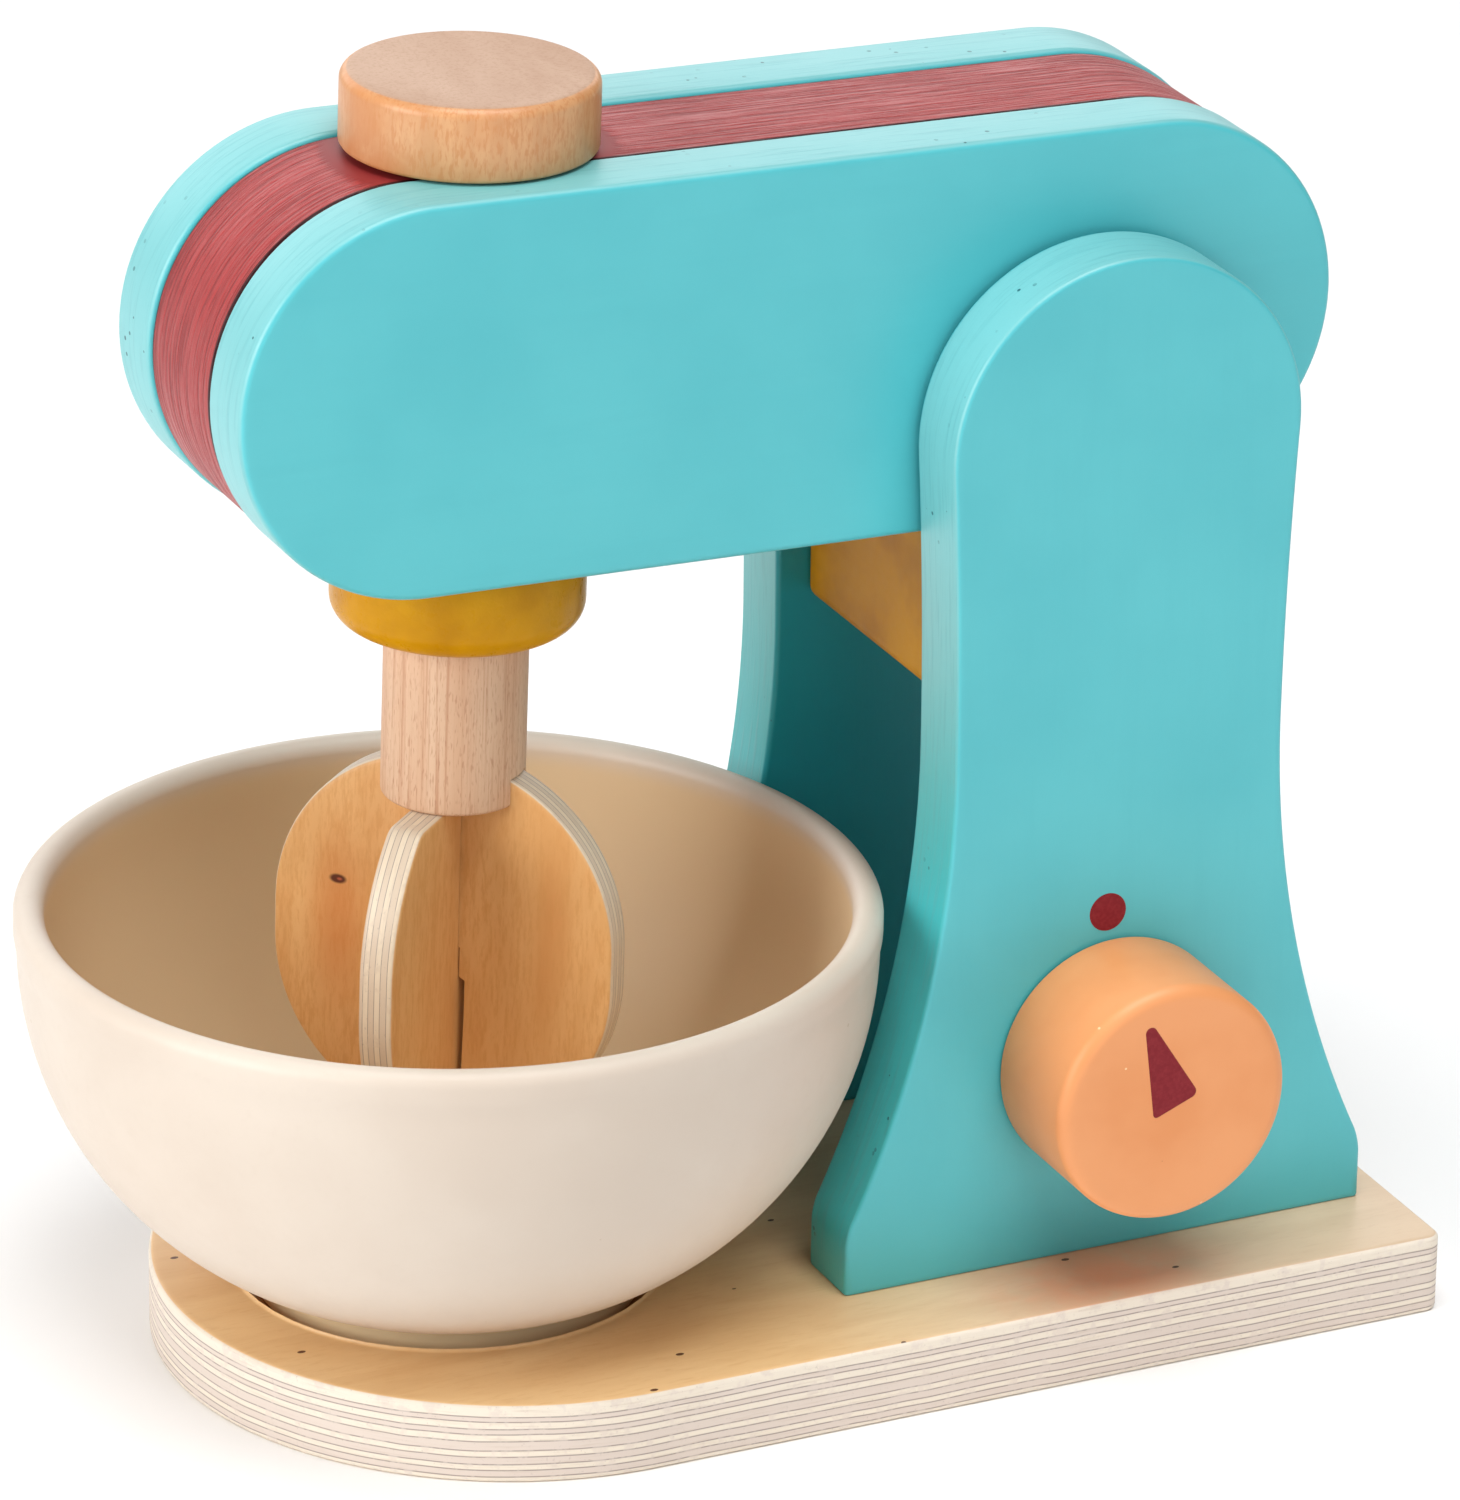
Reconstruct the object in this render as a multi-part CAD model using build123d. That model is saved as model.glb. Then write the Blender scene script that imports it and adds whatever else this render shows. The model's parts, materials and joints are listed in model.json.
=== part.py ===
from build123d import *
import math
import os

# Wooden toy stand mixer: ply base, two uprights, tilting head, hand-turned beater, dial and loose bowl.
# Millimetres. +X runs from the bowl end to the rear, the dial faces -Y and +Z is up.
# The origin is the middle of the base board's underside.

# Fits shared by several pieces
glue_gap = 0.05
running_gap = 0.08
face_gap = 0.4
cut_overrun = 1.0

# Base board of birch ply
base_width = 130.0
base_thickness = 15.0
base_corner_radius = 3.0
base_edge_radius = 0.9
bowl_setback = 53.0
recess_room = 4.3
recess_depth = 4.0
recess_edge_radius = 0.6

# Uprights
upright_thickness = 15.0
upright_setback = 58.5
upright_edge_radius = 1.6
foot_width = 104.0
foot_height = 11.6
foot_corner_radius = 12.0
waist_width = 64.6
waist_height = 98.0
crown_swell = 1.7
crown_drop = 16.6
crown_lead = 12.2
waist_behind_rim = 0.5

# Screws that hold the uprights from below
base_screw_spread = 60.0
base_screw_shank = 4.0
base_screw_head = 8.0
base_screw_head_depth = 2.4
base_screw_length = 35.0
base_screw_sink = 0.5

# Cross recess in every screw head
drive_width = 0.9
drive_span = 4.0
drive_depth = 1.3

# Stop block between the uprights, with its hidden dowels
block_depth = 30.0
block_height = 32.6
block_lead = 26.6
block_edge_radius = 2.5
block_seat_gap = 0.15
block_dowel_diameter = 8.0
block_dowel_spread = 14.0
block_dowel_in_block = 12.0
block_dowel_in_upright = 9.0

# Head pivot
pivot_height = 171.9
pivot_diameter = 14.0
pivot_socket_depth = 10.0
pivot_washer_diameter = 24.0
pivot_washer_thickness = 1.1

# Head: two plates on a core
head_height = 71.0
head_nose = 53.1
core_thickness = 27.4
plate_thickness = 14.4
core_inset = 0.5
plate_edge_radius = 1.6
core_edge_radius = 0.8
head_rest_tilt = 1.4
head_dowel_diameter = 8.0
head_dowel_in_plate = 9.0
head_dowel_reach_shares = (0.3, 0.7)

# Spindle: knob, shaft, collar and beater dowel
shaft_diameter = 14.0
knob_diameter = 45.0
knob_height = 13.2
knob_top_radius = 2.0
knob_bottom_radius = 0.8
knob_socket_depth = 9.0
collar_diameter = 45.0
collar_height = 15.8
collar_top_radius = 0.8
collar_bottom_radius = 5.0
beater_dowel_diameter = 25.6
beater_dowel_length = 32.4
beater_dowel_socket_depth = 14.0
beater_dowel_edge = 0.8

# Beater: two half-lapped oval discs, the first let into the dowel's end
disc_width = 65.0
disc_height = 71.6
disc_drop = 28.4
disc_thickness = 6.5
disc_edge_radius = 0.7
disc_corner_radius = 4.0
disc_lap_gap = 0.25
disc_slot_depth = 5.4
beater_rest_turn = -46.7

# Dial on its axle
dial_height = 38.7
dial_diameter = 45.0
dial_depth = 24.2
dial_edge_radius = 2.4
dial_back_radius = 0.6
axle_diameter = 10.0
axle_socket_depth = 14.0
axle_proud = 0.3
retainer_diameter = 20.0
retainer_thickness = 1.5
retainer_edge_radius = 0.4
dial_screw_shank = 4.0
dial_screw_length = 16.0
dial_screw_head = 8.0
dial_screw_head_height = 2.6
dial_screw_head_radius = 1.6

# Bowl
bowl_diameter = 154.0
bowl_height = 75.0
bowl_wall = 5.0
bowl_band_height = 8.0
bowl_band_step = 0.5
bowl_foot_diameter = 70.0
bowl_foot_height = 5.6
bowl_foot_wall = 6.0
bowl_foot_hollow = 2.4
bowl_foot_radius = 0.8
bowl_crease_radius = 1.0
bowl_floor_thickness = 4.0
bowl_floor_radius = 22.0
bowl_floor_blend = 14.0

# Places across the width
head_half_width = core_thickness / 2 + plate_thickness
upright_inner_y = head_half_width + face_gap / 2 + pivot_washer_thickness
upright_mid_y = upright_inner_y + upright_thickness / 2
upright_outer_y = upright_inner_y + upright_thickness

# Places in the head's own level frame, whose origin is the pivot
head_radius = head_height / 2
knob_bottom_z = head_radius + face_gap
collar_top_z = -head_radius - face_gap
collar_bottom_z = collar_top_z - collar_height
dowel_bottom_z = collar_bottom_z - beater_dowel_length
disc_center_z = dowel_bottom_z - disc_drop

# Places along the length, counted from the bowl's axis and then from the middle of the base
tilt_sine = math.sin(math.radians(head_rest_tilt))
tilt_cosine = math.cos(math.radians(head_rest_tilt))
axis_to_upright = bowl_diameter / 2 + waist_behind_rim + waist_width / 2
axis_to_pivot = axis_to_upright + crown_lead
shaft_reach = (axis_to_pivot + disc_center_z * tilt_sine) / tilt_cosine
base_length = bowl_setback + axis_to_upright + upright_setback
base_front_x = -base_length / 2
base_rear_x = base_length / 2
bowl_x = base_front_x + bowl_setback
upright_x = bowl_x + axis_to_upright
pivot_x = bowl_x + axis_to_pivot

# Heights
pivot_z = base_thickness + pivot_height
crown_z = pivot_z - crown_drop
waist_z = base_thickness + waist_height
foot_top_z = base_thickness + foot_height
block_top_z = pivot_z - head_radius - block_seat_gap
dial_z = base_thickness + dial_height
bowl_floor_z = base_thickness - recess_depth


def bar_y(radius, y_from, y_to):
    """A round bar along Y."""
    bar = Cylinder(radius, y_to - y_from, align=(Align.CENTER, Align.CENTER, Align.MIN))
    return Pos(0, y_from, 0) * Rot(-90, 0, 0) * bar


def bar_z(radius, z_from, z_to):
    """A round bar along Z."""
    bar = Cylinder(radius, z_to - z_from, align=(Align.CENTER, Align.CENTER, Align.MIN))
    return Pos(0, 0, z_from) * bar


def board(outline, thickness):
    """A flat board cut to a side-view outline, centred on the middle plane."""
    return extrude(Plane.XZ * outline, amount=thickness / 2, both=True)


def group(solids):
    """Identical pieces kept as separate solids of one node."""
    return Compound(children=list(solids))


def seat_head(piece):
    """Bring a piece from the head's own frame to its resting place on the pivot."""
    return Pos(pivot_x, 0, pivot_z) * Rot(0, head_rest_tilt, 0) * piece


def drive_recess():
    """The cross recess, cut upwards from a screw head's face at z = 0."""
    bar = Box(drive_span, drive_width, drive_depth, align=(Align.CENTER, Align.CENTER, Align.MIN))
    return bar + Rot(0, 0, 90) * bar


# Base board and its screws
def base_screw_places():
    for side in (-1, 1):
        for end in (-1, 1):
            yield upright_x + end * base_screw_spread / 2, side * upright_mid_y


def base_screw_shape(gap):
    """Countersunk screw pointing up from z = 0, grown by a gap all round."""
    head_r = base_screw_head / 2 + gap
    shank_r = base_screw_shank / 2 + gap
    head = Cone(head_r, shank_r, base_screw_head_depth, align=(Align.CENTER, Align.CENTER, Align.MIN))
    return head + bar_z(shank_r, base_screw_head_depth, base_screw_length)


def base_screw_cut():
    """Room for one screw: its shape and the countersink down to the underside."""
    mouth = bar_z(base_screw_head / 2 + glue_gap, -base_screw_sink - cut_overrun, 0)
    return Pos(0, 0, base_screw_sink) * (base_screw_shape(glue_gap) + mouth)


def base_board():
    front_center_x = base_front_x + base_width / 2
    straight = base_rear_x - front_center_x
    outline = Pos(front_center_x, 0) * Circle(base_width / 2)
    outline += Pos(front_center_x + straight / 2, 0) * Rectangle(straight, base_width)
    outline = fillet(outline.vertices().group_by(Axis.X)[-1], base_corner_radius)
    slab = extrude(outline, amount=base_thickness)
    rims = slab.faces().sort_by(Axis.Z)
    slab = fillet(rims[0].edges() + rims[-1].edges(), base_edge_radius)
    recess_radius = bowl_foot_diameter / 2 + recess_room
    slab -= Pos(bowl_x, 0, 0) * bar_z(recess_radius, bowl_floor_z, base_thickness + cut_overrun)
    mouth = slab.edges().sort_by_distance((bowl_x + recess_radius, 0, base_thickness))[0]
    slab = fillet(mouth, recess_edge_radius)
    for x, y in base_screw_places():
        slab -= Pos(x, y, 0) * base_screw_cut()
    return slab


def base_screws():
    screw = base_screw_shape(0) - drive_recess()
    return group(Pos(x, y, base_screw_sink) * screw for x, y in base_screw_places())


# Uprights
def upright_outline():
    """Side view about the upright's own centre line: foot, flare, waist and round crown."""
    foot_half = foot_width / 2
    waist_half = waist_width / 2
    crown_radius = waist_half + crown_swell
    rise = crown_z - waist_z
    # The sides swell from the waist on a long arc that runs smoothly into the crown.
    side_radius = (waist_half**2 + rise**2 - crown_radius**2) / (2 * crown_swell)
    share = crown_radius / (side_radius + crown_radius)
    shoulder = ((waist_half + side_radius) * share, crown_z - rise * share)
    foot = Line((-foot_half, base_thickness), (foot_half, base_thickness))
    heel = Line((foot_half, base_thickness), (foot_half, foot_top_z))
    flare = TangentArc((waist_half, waist_z), (foot_half, foot_top_z), tangent=(0, -1))
    side = TangentArc((waist_half, waist_z), shoulder, tangent=(0, 1))
    crown = ThreePointArc(shoulder, (0, crown_z + crown_radius), (-shoulder[0], shoulder[1]))
    half = Curve() + [heel, flare, side]
    outline = make_face(Curve() + [foot, half, mirror(half, about=Plane.YZ), crown])
    return fillet(outline.vertices().group_by(Axis.Y)[1], foot_corner_radius)


def plain_upright(side):
    """One upright on the given side, with its pivot socket, dowel sockets and screw pilots."""
    solid = board(upright_outline(), upright_thickness)
    faces = solid.faces().sort_by(Axis.Y)
    rims = [edge for face in (faces[0], faces[-1]) for edge in face.edges().sort_by(Axis.Z)[1:]]
    solid = fillet(rims, upright_edge_radius)
    solid = Pos(upright_x, side * upright_mid_y, 0) * solid
    pivot_end = upright_inner_y + pivot_socket_depth
    solid -= Pos(pivot_x, 0, pivot_z) * bar_y(pivot_diameter / 2 + glue_gap, -pivot_end, pivot_end)
    dowel_end = upright_inner_y + block_dowel_in_upright
    for x, z in block_dowel_places():
        solid -= Pos(x, 0, z) * bar_y(block_dowel_diameter / 2 + glue_gap, -dowel_end, dowel_end)
    for x, y in base_screw_places():
        solid -= Pos(x, y, 0) * base_screw_cut()
    return solid


def plain_side_upright():
    return plain_upright(1)


def dial_side_upright():
    bore = bar_y(axle_diameter / 2 + running_gap, -upright_outer_y - cut_overrun, 0)
    return plain_upright(-1) - Pos(upright_x, 0, dial_z) * bore


# Stop block
def block_center_x():
    return upright_x - block_lead + block_depth / 2


def block_dowel_places():
    z = block_top_z - block_height / 2
    for end in (-1, 1):
        yield block_center_x() + end * block_dowel_spread / 2, z


def stop_block():
    block = Box(block_depth, 2 * upright_inner_y, block_height)
    block = fillet(block.edges(), block_edge_radius)
    block = Pos(block_center_x(), 0, block_top_z - block_height / 2) * block
    socket_from = upright_inner_y - block_dowel_in_block
    socket = bar_y(block_dowel_diameter / 2 + glue_gap, socket_from, upright_inner_y + cut_overrun)
    for x, z in block_dowel_places():
        for cut in (socket, mirror(socket, about=Plane.XZ)):
            block -= Pos(x, 0, z) * cut
    return block


def block_dowels():
    inner = upright_inner_y - block_dowel_in_block
    outer = upright_inner_y + block_dowel_in_upright
    dowel = bar_y(block_dowel_diameter / 2, inner, outer)
    pair = (dowel, mirror(dowel, about=Plane.XZ))
    return group(Pos(x, 0, z) * one for x, z in block_dowel_places() for one in pair)


# Head pivot
def pivot_dowel():
    end = upright_inner_y + pivot_socket_depth
    return Pos(pivot_x, 0, pivot_z) * bar_y(pivot_diameter / 2, -end, end)


def pivot_washers():
    inner = upright_inner_y - pivot_washer_thickness
    ring = bar_y(pivot_washer_diameter / 2, inner, upright_inner_y)
    ring -= bar_y(pivot_diameter / 2 + running_gap, inner - cut_overrun, upright_inner_y + cut_overrun)
    ring = Pos(pivot_x, 0, pivot_z) * ring
    return group([ring, mirror(ring, about=Plane.XZ)])


# Head plates and core
def head_outline(inset):
    """Round-ended side view of the head about its pivot, drawn in by an inset all round."""
    separation = shaft_reach + head_nose - head_radius
    length = separation + 2 * (head_radius - inset)
    return Pos(-separation / 2, 0) * SlotOverall(length, 2 * (head_radius - inset))


def head_dowel_cut(half_length, gap):
    """The hidden dowels that locate the plates on the core, grown by a gap."""
    radius = head_dowel_diameter / 2 + gap
    return [Pos(-shaft_reach * share, 0, 0) * bar_y(radius, -half_length, half_length)
            for share in head_dowel_reach_shares]


def head_layer(inset, thickness, edge_radius):
    """One layer of the head with rounded rims, the pivot bore and the dowel holes."""
    layer = board(head_outline(inset), thickness)
    faces = layer.faces().sort_by(Axis.Y)
    layer = fillet(faces[0].edges() + faces[-1].edges(), edge_radius)
    bore_end = thickness / 2 + cut_overrun
    return layer - bar_y(pivot_diameter / 2 + running_gap, -bore_end, bore_end)


def head_core():
    core = head_layer(core_inset, core_thickness, core_edge_radius)
    core -= head_dowel_cut(core_thickness / 2 + cut_overrun, glue_gap)
    core -= Pos(-shaft_reach, 0, 0) * bar_z(shaft_diameter / 2 + running_gap, -head_radius, head_radius)
    return seat_head(core)


def head_plate(side):
    plate_y = side * (core_thickness + plate_thickness) / 2
    plate = Pos(0, plate_y, 0) * head_layer(0, plate_thickness, plate_edge_radius)
    plate -= head_dowel_cut(core_thickness / 2 + head_dowel_in_plate, glue_gap)
    return seat_head(plate)


def dial_side_plate():
    return head_plate(-1)


def plain_side_plate():
    return head_plate(1)


def head_dowels():
    return seat_head(group(head_dowel_cut(core_thickness / 2 + head_dowel_in_plate, 0)))


# Spindle
def on_spindle(piece):
    """Bring a piece from the spindle's axis to its place in the resting head."""
    return seat_head(Pos(-shaft_reach, 0, 0) * piece)


def top_knob():
    knob = bar_z(knob_diameter / 2, knob_bottom_z, knob_bottom_z + knob_height)
    knob = fillet(knob.edges().sort_by(Axis.Z)[-1], knob_top_radius)
    knob = fillet(knob.edges().sort_by(Axis.Z)[0], knob_bottom_radius)
    socket_top = knob_bottom_z + knob_socket_depth
    socket = bar_z(shaft_diameter / 2 + glue_gap, knob_bottom_z - cut_overrun, socket_top)
    return on_spindle(knob - socket)


def drive_shaft():
    lower_end = collar_bottom_z - beater_dowel_socket_depth
    upper_end = knob_bottom_z + knob_socket_depth
    return on_spindle(bar_z(shaft_diameter / 2, lower_end, upper_end))


def collar():
    ring = bar_z(collar_diameter / 2, collar_bottom_z, collar_top_z)
    ring = fillet(ring.edges().sort_by(Axis.Z)[0], collar_bottom_radius)
    ring = fillet(ring.edges().sort_by(Axis.Z)[-1], collar_top_radius)
    bore = bar_z(shaft_diameter / 2 + glue_gap, collar_bottom_z - cut_overrun, collar_top_z + cut_overrun)
    return on_spindle(ring - bore)


def beater_dowel():
    dowel = bar_z(beater_dowel_diameter / 2, dowel_bottom_z, collar_bottom_z)
    dowel = fillet(dowel.edges().sort_by(Axis.Z)[0], beater_dowel_edge)
    socket_floor = collar_bottom_z - beater_dowel_socket_depth
    dowel -= bar_z(shaft_diameter / 2 + glue_gap, socket_floor, collar_bottom_z + cut_overrun)
    slot_height = disc_slot_depth + cut_overrun
    slot = Box(beater_dowel_diameter + cut_overrun, disc_thickness + 2 * glue_gap, slot_height)
    slot = Pos(0, 0, dowel_bottom_z + disc_slot_depth - slot_height / 2) * slot
    return on_spindle(dowel - Rot(0, 0, beater_rest_turn) * slot)


def beater_disc(turn, slot_side, top_z):
    """An oval standing on edge with a flat top, slotted to its middle from above (1) or below (-1)."""
    outline = Rot(0, 0, 90) * SlotOverall(disc_height, disc_width)
    outline -= Pos(0, top_z) * Rectangle(disc_width, disc_height, align=(Align.CENTER, Align.MIN))
    outline = fillet(outline.vertices().sort_by(Axis.Y)[-2:], disc_corner_radius)
    disc = board(outline, disc_thickness)
    faces = disc.faces().sort_by(Axis.Y)
    disc = fillet(faces[0].edges() + faces[-1].edges(), disc_edge_radius)
    slot_length = disc_height / 2 + cut_overrun
    slot = Box(disc_thickness + 2 * disc_lap_gap, disc_thickness + cut_overrun, slot_length)
    disc -= Pos(0, 0, slot_side * slot_length / 2) * slot
    return on_spindle(Pos(0, 0, disc_center_z) * Rot(0, 0, turn) * disc)


def first_beater_disc():
    """The disc whose top is held in the dowel's slot."""
    return beater_disc(beater_rest_turn, -1, disc_drop + disc_slot_depth - glue_gap)


def second_beater_disc():
    """The disc that laps the first and stops at the dowel's end."""
    return beater_disc(beater_rest_turn + 90, 1, disc_drop - glue_gap)


# Dial
def on_dial_axis(piece):
    return Pos(upright_x, 0, dial_z) * piece


def dial_knob():
    back = -upright_outer_y - face_gap
    knob = bar_y(dial_diameter / 2, back - dial_depth, back)
    knob = fillet(knob.edges().sort_by(Axis.Y)[0], dial_edge_radius)
    knob = fillet(knob.edges().sort_by(Axis.Y)[-1], dial_back_radius)
    socket = bar_y(axle_diameter / 2 + glue_gap, back - axle_socket_depth, back + cut_overrun)
    return on_dial_axis(knob - socket)


def axle_end_y():
    """Where the axle stops, just past the upright's inner face."""
    return -upright_inner_y + axle_proud


def dial_screw_reach():
    return axle_end_y() + retainer_thickness - dial_screw_length


def dial_axle():
    front_end = -upright_outer_y - face_gap - axle_socket_depth
    axle = bar_y(axle_diameter / 2, front_end, axle_end_y())
    pilot = bar_y(dial_screw_shank / 2 + glue_gap, dial_screw_reach(), axle_end_y() + cut_overrun)
    return on_dial_axis(axle - pilot)


def dial_retainer():
    outer = axle_end_y() + retainer_thickness
    ring = bar_y(retainer_diameter / 2, axle_end_y(), outer)
    ring = fillet(ring.edges().sort_by(Axis.Y)[-1], retainer_edge_radius)
    hole = bar_y(dial_screw_shank / 2 + glue_gap, axle_end_y() - cut_overrun, outer + cut_overrun)
    return on_dial_axis(ring - hole)


def dial_screw():
    seat = axle_end_y() + retainer_thickness
    top = seat + dial_screw_head_height
    head = bar_y(dial_screw_head / 2, seat, top)
    head = fillet(head.edges().sort_by(Axis.Y)[-1], dial_screw_head_radius)
    screw = head + bar_y(dial_screw_shank / 2, dial_screw_reach(), seat)
    return on_dial_axis(screw - Pos(0, top, 0) * Rot(90, 0, 0) * drive_recess())


# Bowl
def bowl():
    rim_r = bowl_diameter / 2
    body_r = rim_r - bowl_band_step
    inner_r = body_r - bowl_wall
    foot_r = bowl_foot_diameter / 2
    hollow_r = foot_r - bowl_foot_wall
    curve_z = bowl_height - bowl_band_height
    floor_z = bowl_foot_hollow + bowl_floor_thickness
    lip_z = bowl_height - (rim_r - inner_r) / 2
    crease = (foot_r, bowl_foot_height)
    floor_edge = (bowl_floor_radius, floor_z)
    center = Line((0, floor_z), (0, bowl_foot_hollow))
    hollow = Polyline((0, bowl_foot_hollow), (hollow_r, bowl_foot_hollow), (hollow_r, 0))
    foot = Polyline((hollow_r, 0), (foot_r, 0), crease)
    outside = TangentArc((body_r, curve_z), crease, tangent=(0, -1))
    band = Polyline((body_r, curve_z), (rim_r, curve_z + bowl_band_step), (rim_r, lip_z))
    lip = TangentArc((rim_r, lip_z), (inner_r, lip_z), tangent=(0, 1))
    neck = Line((inner_r, lip_z), (inner_r, curve_z))
    inside = TangentArc((inner_r, curve_z), floor_edge, tangent=(0, -1))
    floor = Line(floor_edge, (0, floor_z))
    profile = make_face(Curve() + [center, hollow, foot, outside, band, lip, neck, inside, floor])
    profile = fillet(profile.vertices().sort_by_distance(floor_edge)[0], bowl_floor_blend)
    profile = fillet(profile.vertices().sort_by_distance(crease)[0], bowl_crease_radius)
    for ring_r in (hollow_r, foot_r):
        profile = fillet(profile.vertices().sort_by_distance((ring_r, 0))[0], bowl_foot_radius)
    solid = revolve(Plane.XZ * profile, axis=Axis.Z)
    return Pos(bowl_x, 0, bowl_floor_z) * solid


pieces = (
    base_board, base_screws, dial_side_upright, plain_side_upright, stop_block, block_dowels,
    pivot_dowel, pivot_washers, head_core, dial_side_plate, plain_side_plate, head_dowels,
    top_knob, drive_shaft, collar, beater_dowel, first_beater_disc, second_beater_disc,
    dial_knob, dial_axle, dial_retainer, dial_screw, bowl,
)

os.makedirs("parts", exist_ok=True)
for piece in pieces:
    export_step(piece(), "parts/" + piece.__name__ + ".step")
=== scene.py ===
import json
import math

import bmesh
import bpy
from mathutils import Matrix, Vector


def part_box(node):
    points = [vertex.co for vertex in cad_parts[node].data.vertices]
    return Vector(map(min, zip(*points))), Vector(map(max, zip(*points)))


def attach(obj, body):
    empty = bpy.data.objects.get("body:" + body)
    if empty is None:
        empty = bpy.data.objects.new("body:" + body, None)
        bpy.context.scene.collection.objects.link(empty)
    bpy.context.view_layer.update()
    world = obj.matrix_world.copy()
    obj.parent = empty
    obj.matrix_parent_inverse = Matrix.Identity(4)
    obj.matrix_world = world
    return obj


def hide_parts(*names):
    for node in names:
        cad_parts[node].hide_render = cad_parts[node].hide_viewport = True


# Wooden toy stand mixer dressed in its finishes. Metres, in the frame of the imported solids.
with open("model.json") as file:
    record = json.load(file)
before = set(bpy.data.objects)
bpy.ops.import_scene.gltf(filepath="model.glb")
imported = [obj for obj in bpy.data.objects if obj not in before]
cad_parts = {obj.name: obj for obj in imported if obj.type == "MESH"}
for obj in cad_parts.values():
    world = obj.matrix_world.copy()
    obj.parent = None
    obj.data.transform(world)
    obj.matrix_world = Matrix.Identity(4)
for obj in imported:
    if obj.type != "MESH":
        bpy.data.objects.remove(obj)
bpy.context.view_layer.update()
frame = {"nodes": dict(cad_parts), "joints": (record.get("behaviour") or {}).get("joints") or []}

# Axes of the moving bodies, from the frame
joints = {joint["name"]: joint for joint in frame["joints"]}
pivot = Vector(joints["head_tilt"]["pos_m"])
spindle = Vector(joints["beater_spin"]["pos_m"])
spindle_axis = Vector(joints["beater_spin"]["axis"])
dial_center = Vector(joints["dial_turn"]["pos_m"])
bowl_foot = Vector(joints["bowl_lift"]["pos_m"])
rest_tilt = math.atan2(spindle_axis.x, spindle_axis.z)
head_seat = Matrix.Translation(pivot) @ Matrix.Rotation(rest_tilt, 4, "Y")
spindle_seat = Matrix.Translation(spindle) @ Matrix.Rotation(rest_tilt, 4, "Y")

# Mesh fineness
crisp_angle = math.radians(38)
flat_angle = math.radians(1)
merge_distance = 0.000002
near = merge_distance * 10
flat_ring = 0.0006
round_steps = 128
hole_steps = 48
bowl_steps = 160
bowl_wall_steps = 40
bowl_lip_steps = 20
crease_steps = 3
crown_steps = 72
flare_steps = 30
flank_steps = 8
foot_edge_steps = 2
board_corner_steps = 12
board_edge_steps = 5
disc_end_steps = 64
disc_shoulder_steps = 28
disc_corner_steps = 6
dot_steps = 64
pointer_steps = 40
fine_steps = 4
soft_steps = 6
broad_steps = 8
collar_steps = 12

# Side view axis: turns from +X to +Z count as positive
side_axis = (0, -1, 0)
up_axis = (0, 0, 1)

# Base board
board_low, board_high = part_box("base_board")
board_edge = 0.0009
board_corner = 0.003
recess_radius = 0.0393
recess_depth = 0.004
recess_edge = 0.0006
screw_mouth_radius = 0.00405
screw_mouth_depth = 0.003
screw_half = 0.004
tea_place = (0.045, -0.054, board_high.z)
# Where the painted warm light by the bowl fades into the paler veneer behind
lit_golden_until_x = -0.03
honey_from_x = 0.045

# Uprights
upright_low, upright_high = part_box("plain_side_upright")
upright_x = (upright_low.x + upright_high.x) / 2
upright_edge = 0.0009
foot_half = 0.052
foot_top = 0.0266
foot_round = 0.0027
foot_edge = 0.0005
waist_half = 0.0323
waist_z = 0.113
crown_radius = 0.034
crown_z = 0.1703
# Heights where the rims' painted highlight gives way to painted shade low down
rim_lit_above = 0.14
rim_shaded_below = 0.09
dial_bore_radius = 0.00508

# Stop block and its dowels
block_low, block_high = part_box("stop_block")
block_middle = (block_low + block_high) / 2
block_edge = 0.0025
block_dowel_radius = 0.00405
block_dowel_in_upright = 0.009
block_dowel_in_block = 0.012
block_dowel_half_spread = 0.007

# Head, about its pivot
head_radius = 0.0355
head_nose = 0.0531
spindle_from_pivot = -(spindle - pivot).length
head_front = spindle_from_pivot - head_nose + head_radius
core_inset = 0.0005
core_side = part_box("head_core")[1].y - 0.0004
core_edge = 0.0008
plate_edge = 0.0012
pivot_bore_radius = 0.00708
pivot_socket_radius = 0.00705
pivot_socket_depth = 0.01
head_dowel_radius = 0.00405
head_dowel_in_plate = 0.009
head_dowel_places = (0.3 * spindle_from_pivot, 0.7 * spindle_from_pivot)
spindle_bore_radius = 0.00708

# Spindle pieces, heights from the head's middle
turned_radius = 0.0225
knob_bottom = 0.0359
knob_top = 0.0491
knob_top_round = 0.002
knob_bottom_round = 0.0008
knob_socket_depth = 0.009
shaft_socket_radius = 0.00705
collar_top = -0.0359
collar_bottom = -0.0517
collar_top_round = 0.0008
collar_bottom_round = 0.005
dowel_bottom = -0.0841
dowel_radius = 0.0128
dowel_edge = 0.0008
dowel_socket_depth = 0.014
slot_depth = 0.0054
slot_half_width = 0.0033

# Beater discs, heights from their middle
disc_half_width = 0.0325
disc_half_height = 0.0358
disc_half_thickness = 0.00325
disc_edge = 0.0007
disc_corner = 0.004
disc_lap_half = 0.0035
disc_drop = 0.0284
disc_glue_gap = 0.00005
disc_center = dowel_bottom - disc_drop
disc_turn = math.radians(-46.7)
slot_seat = spindle_seat @ Matrix.Rotation(disc_turn, 4, "Z")
knot_place = Vector((-0.0202, -disc_half_thickness, 0.0087))
knot_spread = (0.55, 0.5, 1.0)
knot_heart_shift = Vector((0.0003, 0, 0))
knot_glow_shift = Vector((0, 0, -0.008))
knot_glow_spread = (1.0, 0.5, 0.34)
lap_gap_start = -0.0056
lap_gap_widest = 0.0011
lap_gap_at_rim = 0.0006
lap_gap_step = 0.0007
lap_gap_belly = 0.007

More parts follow.
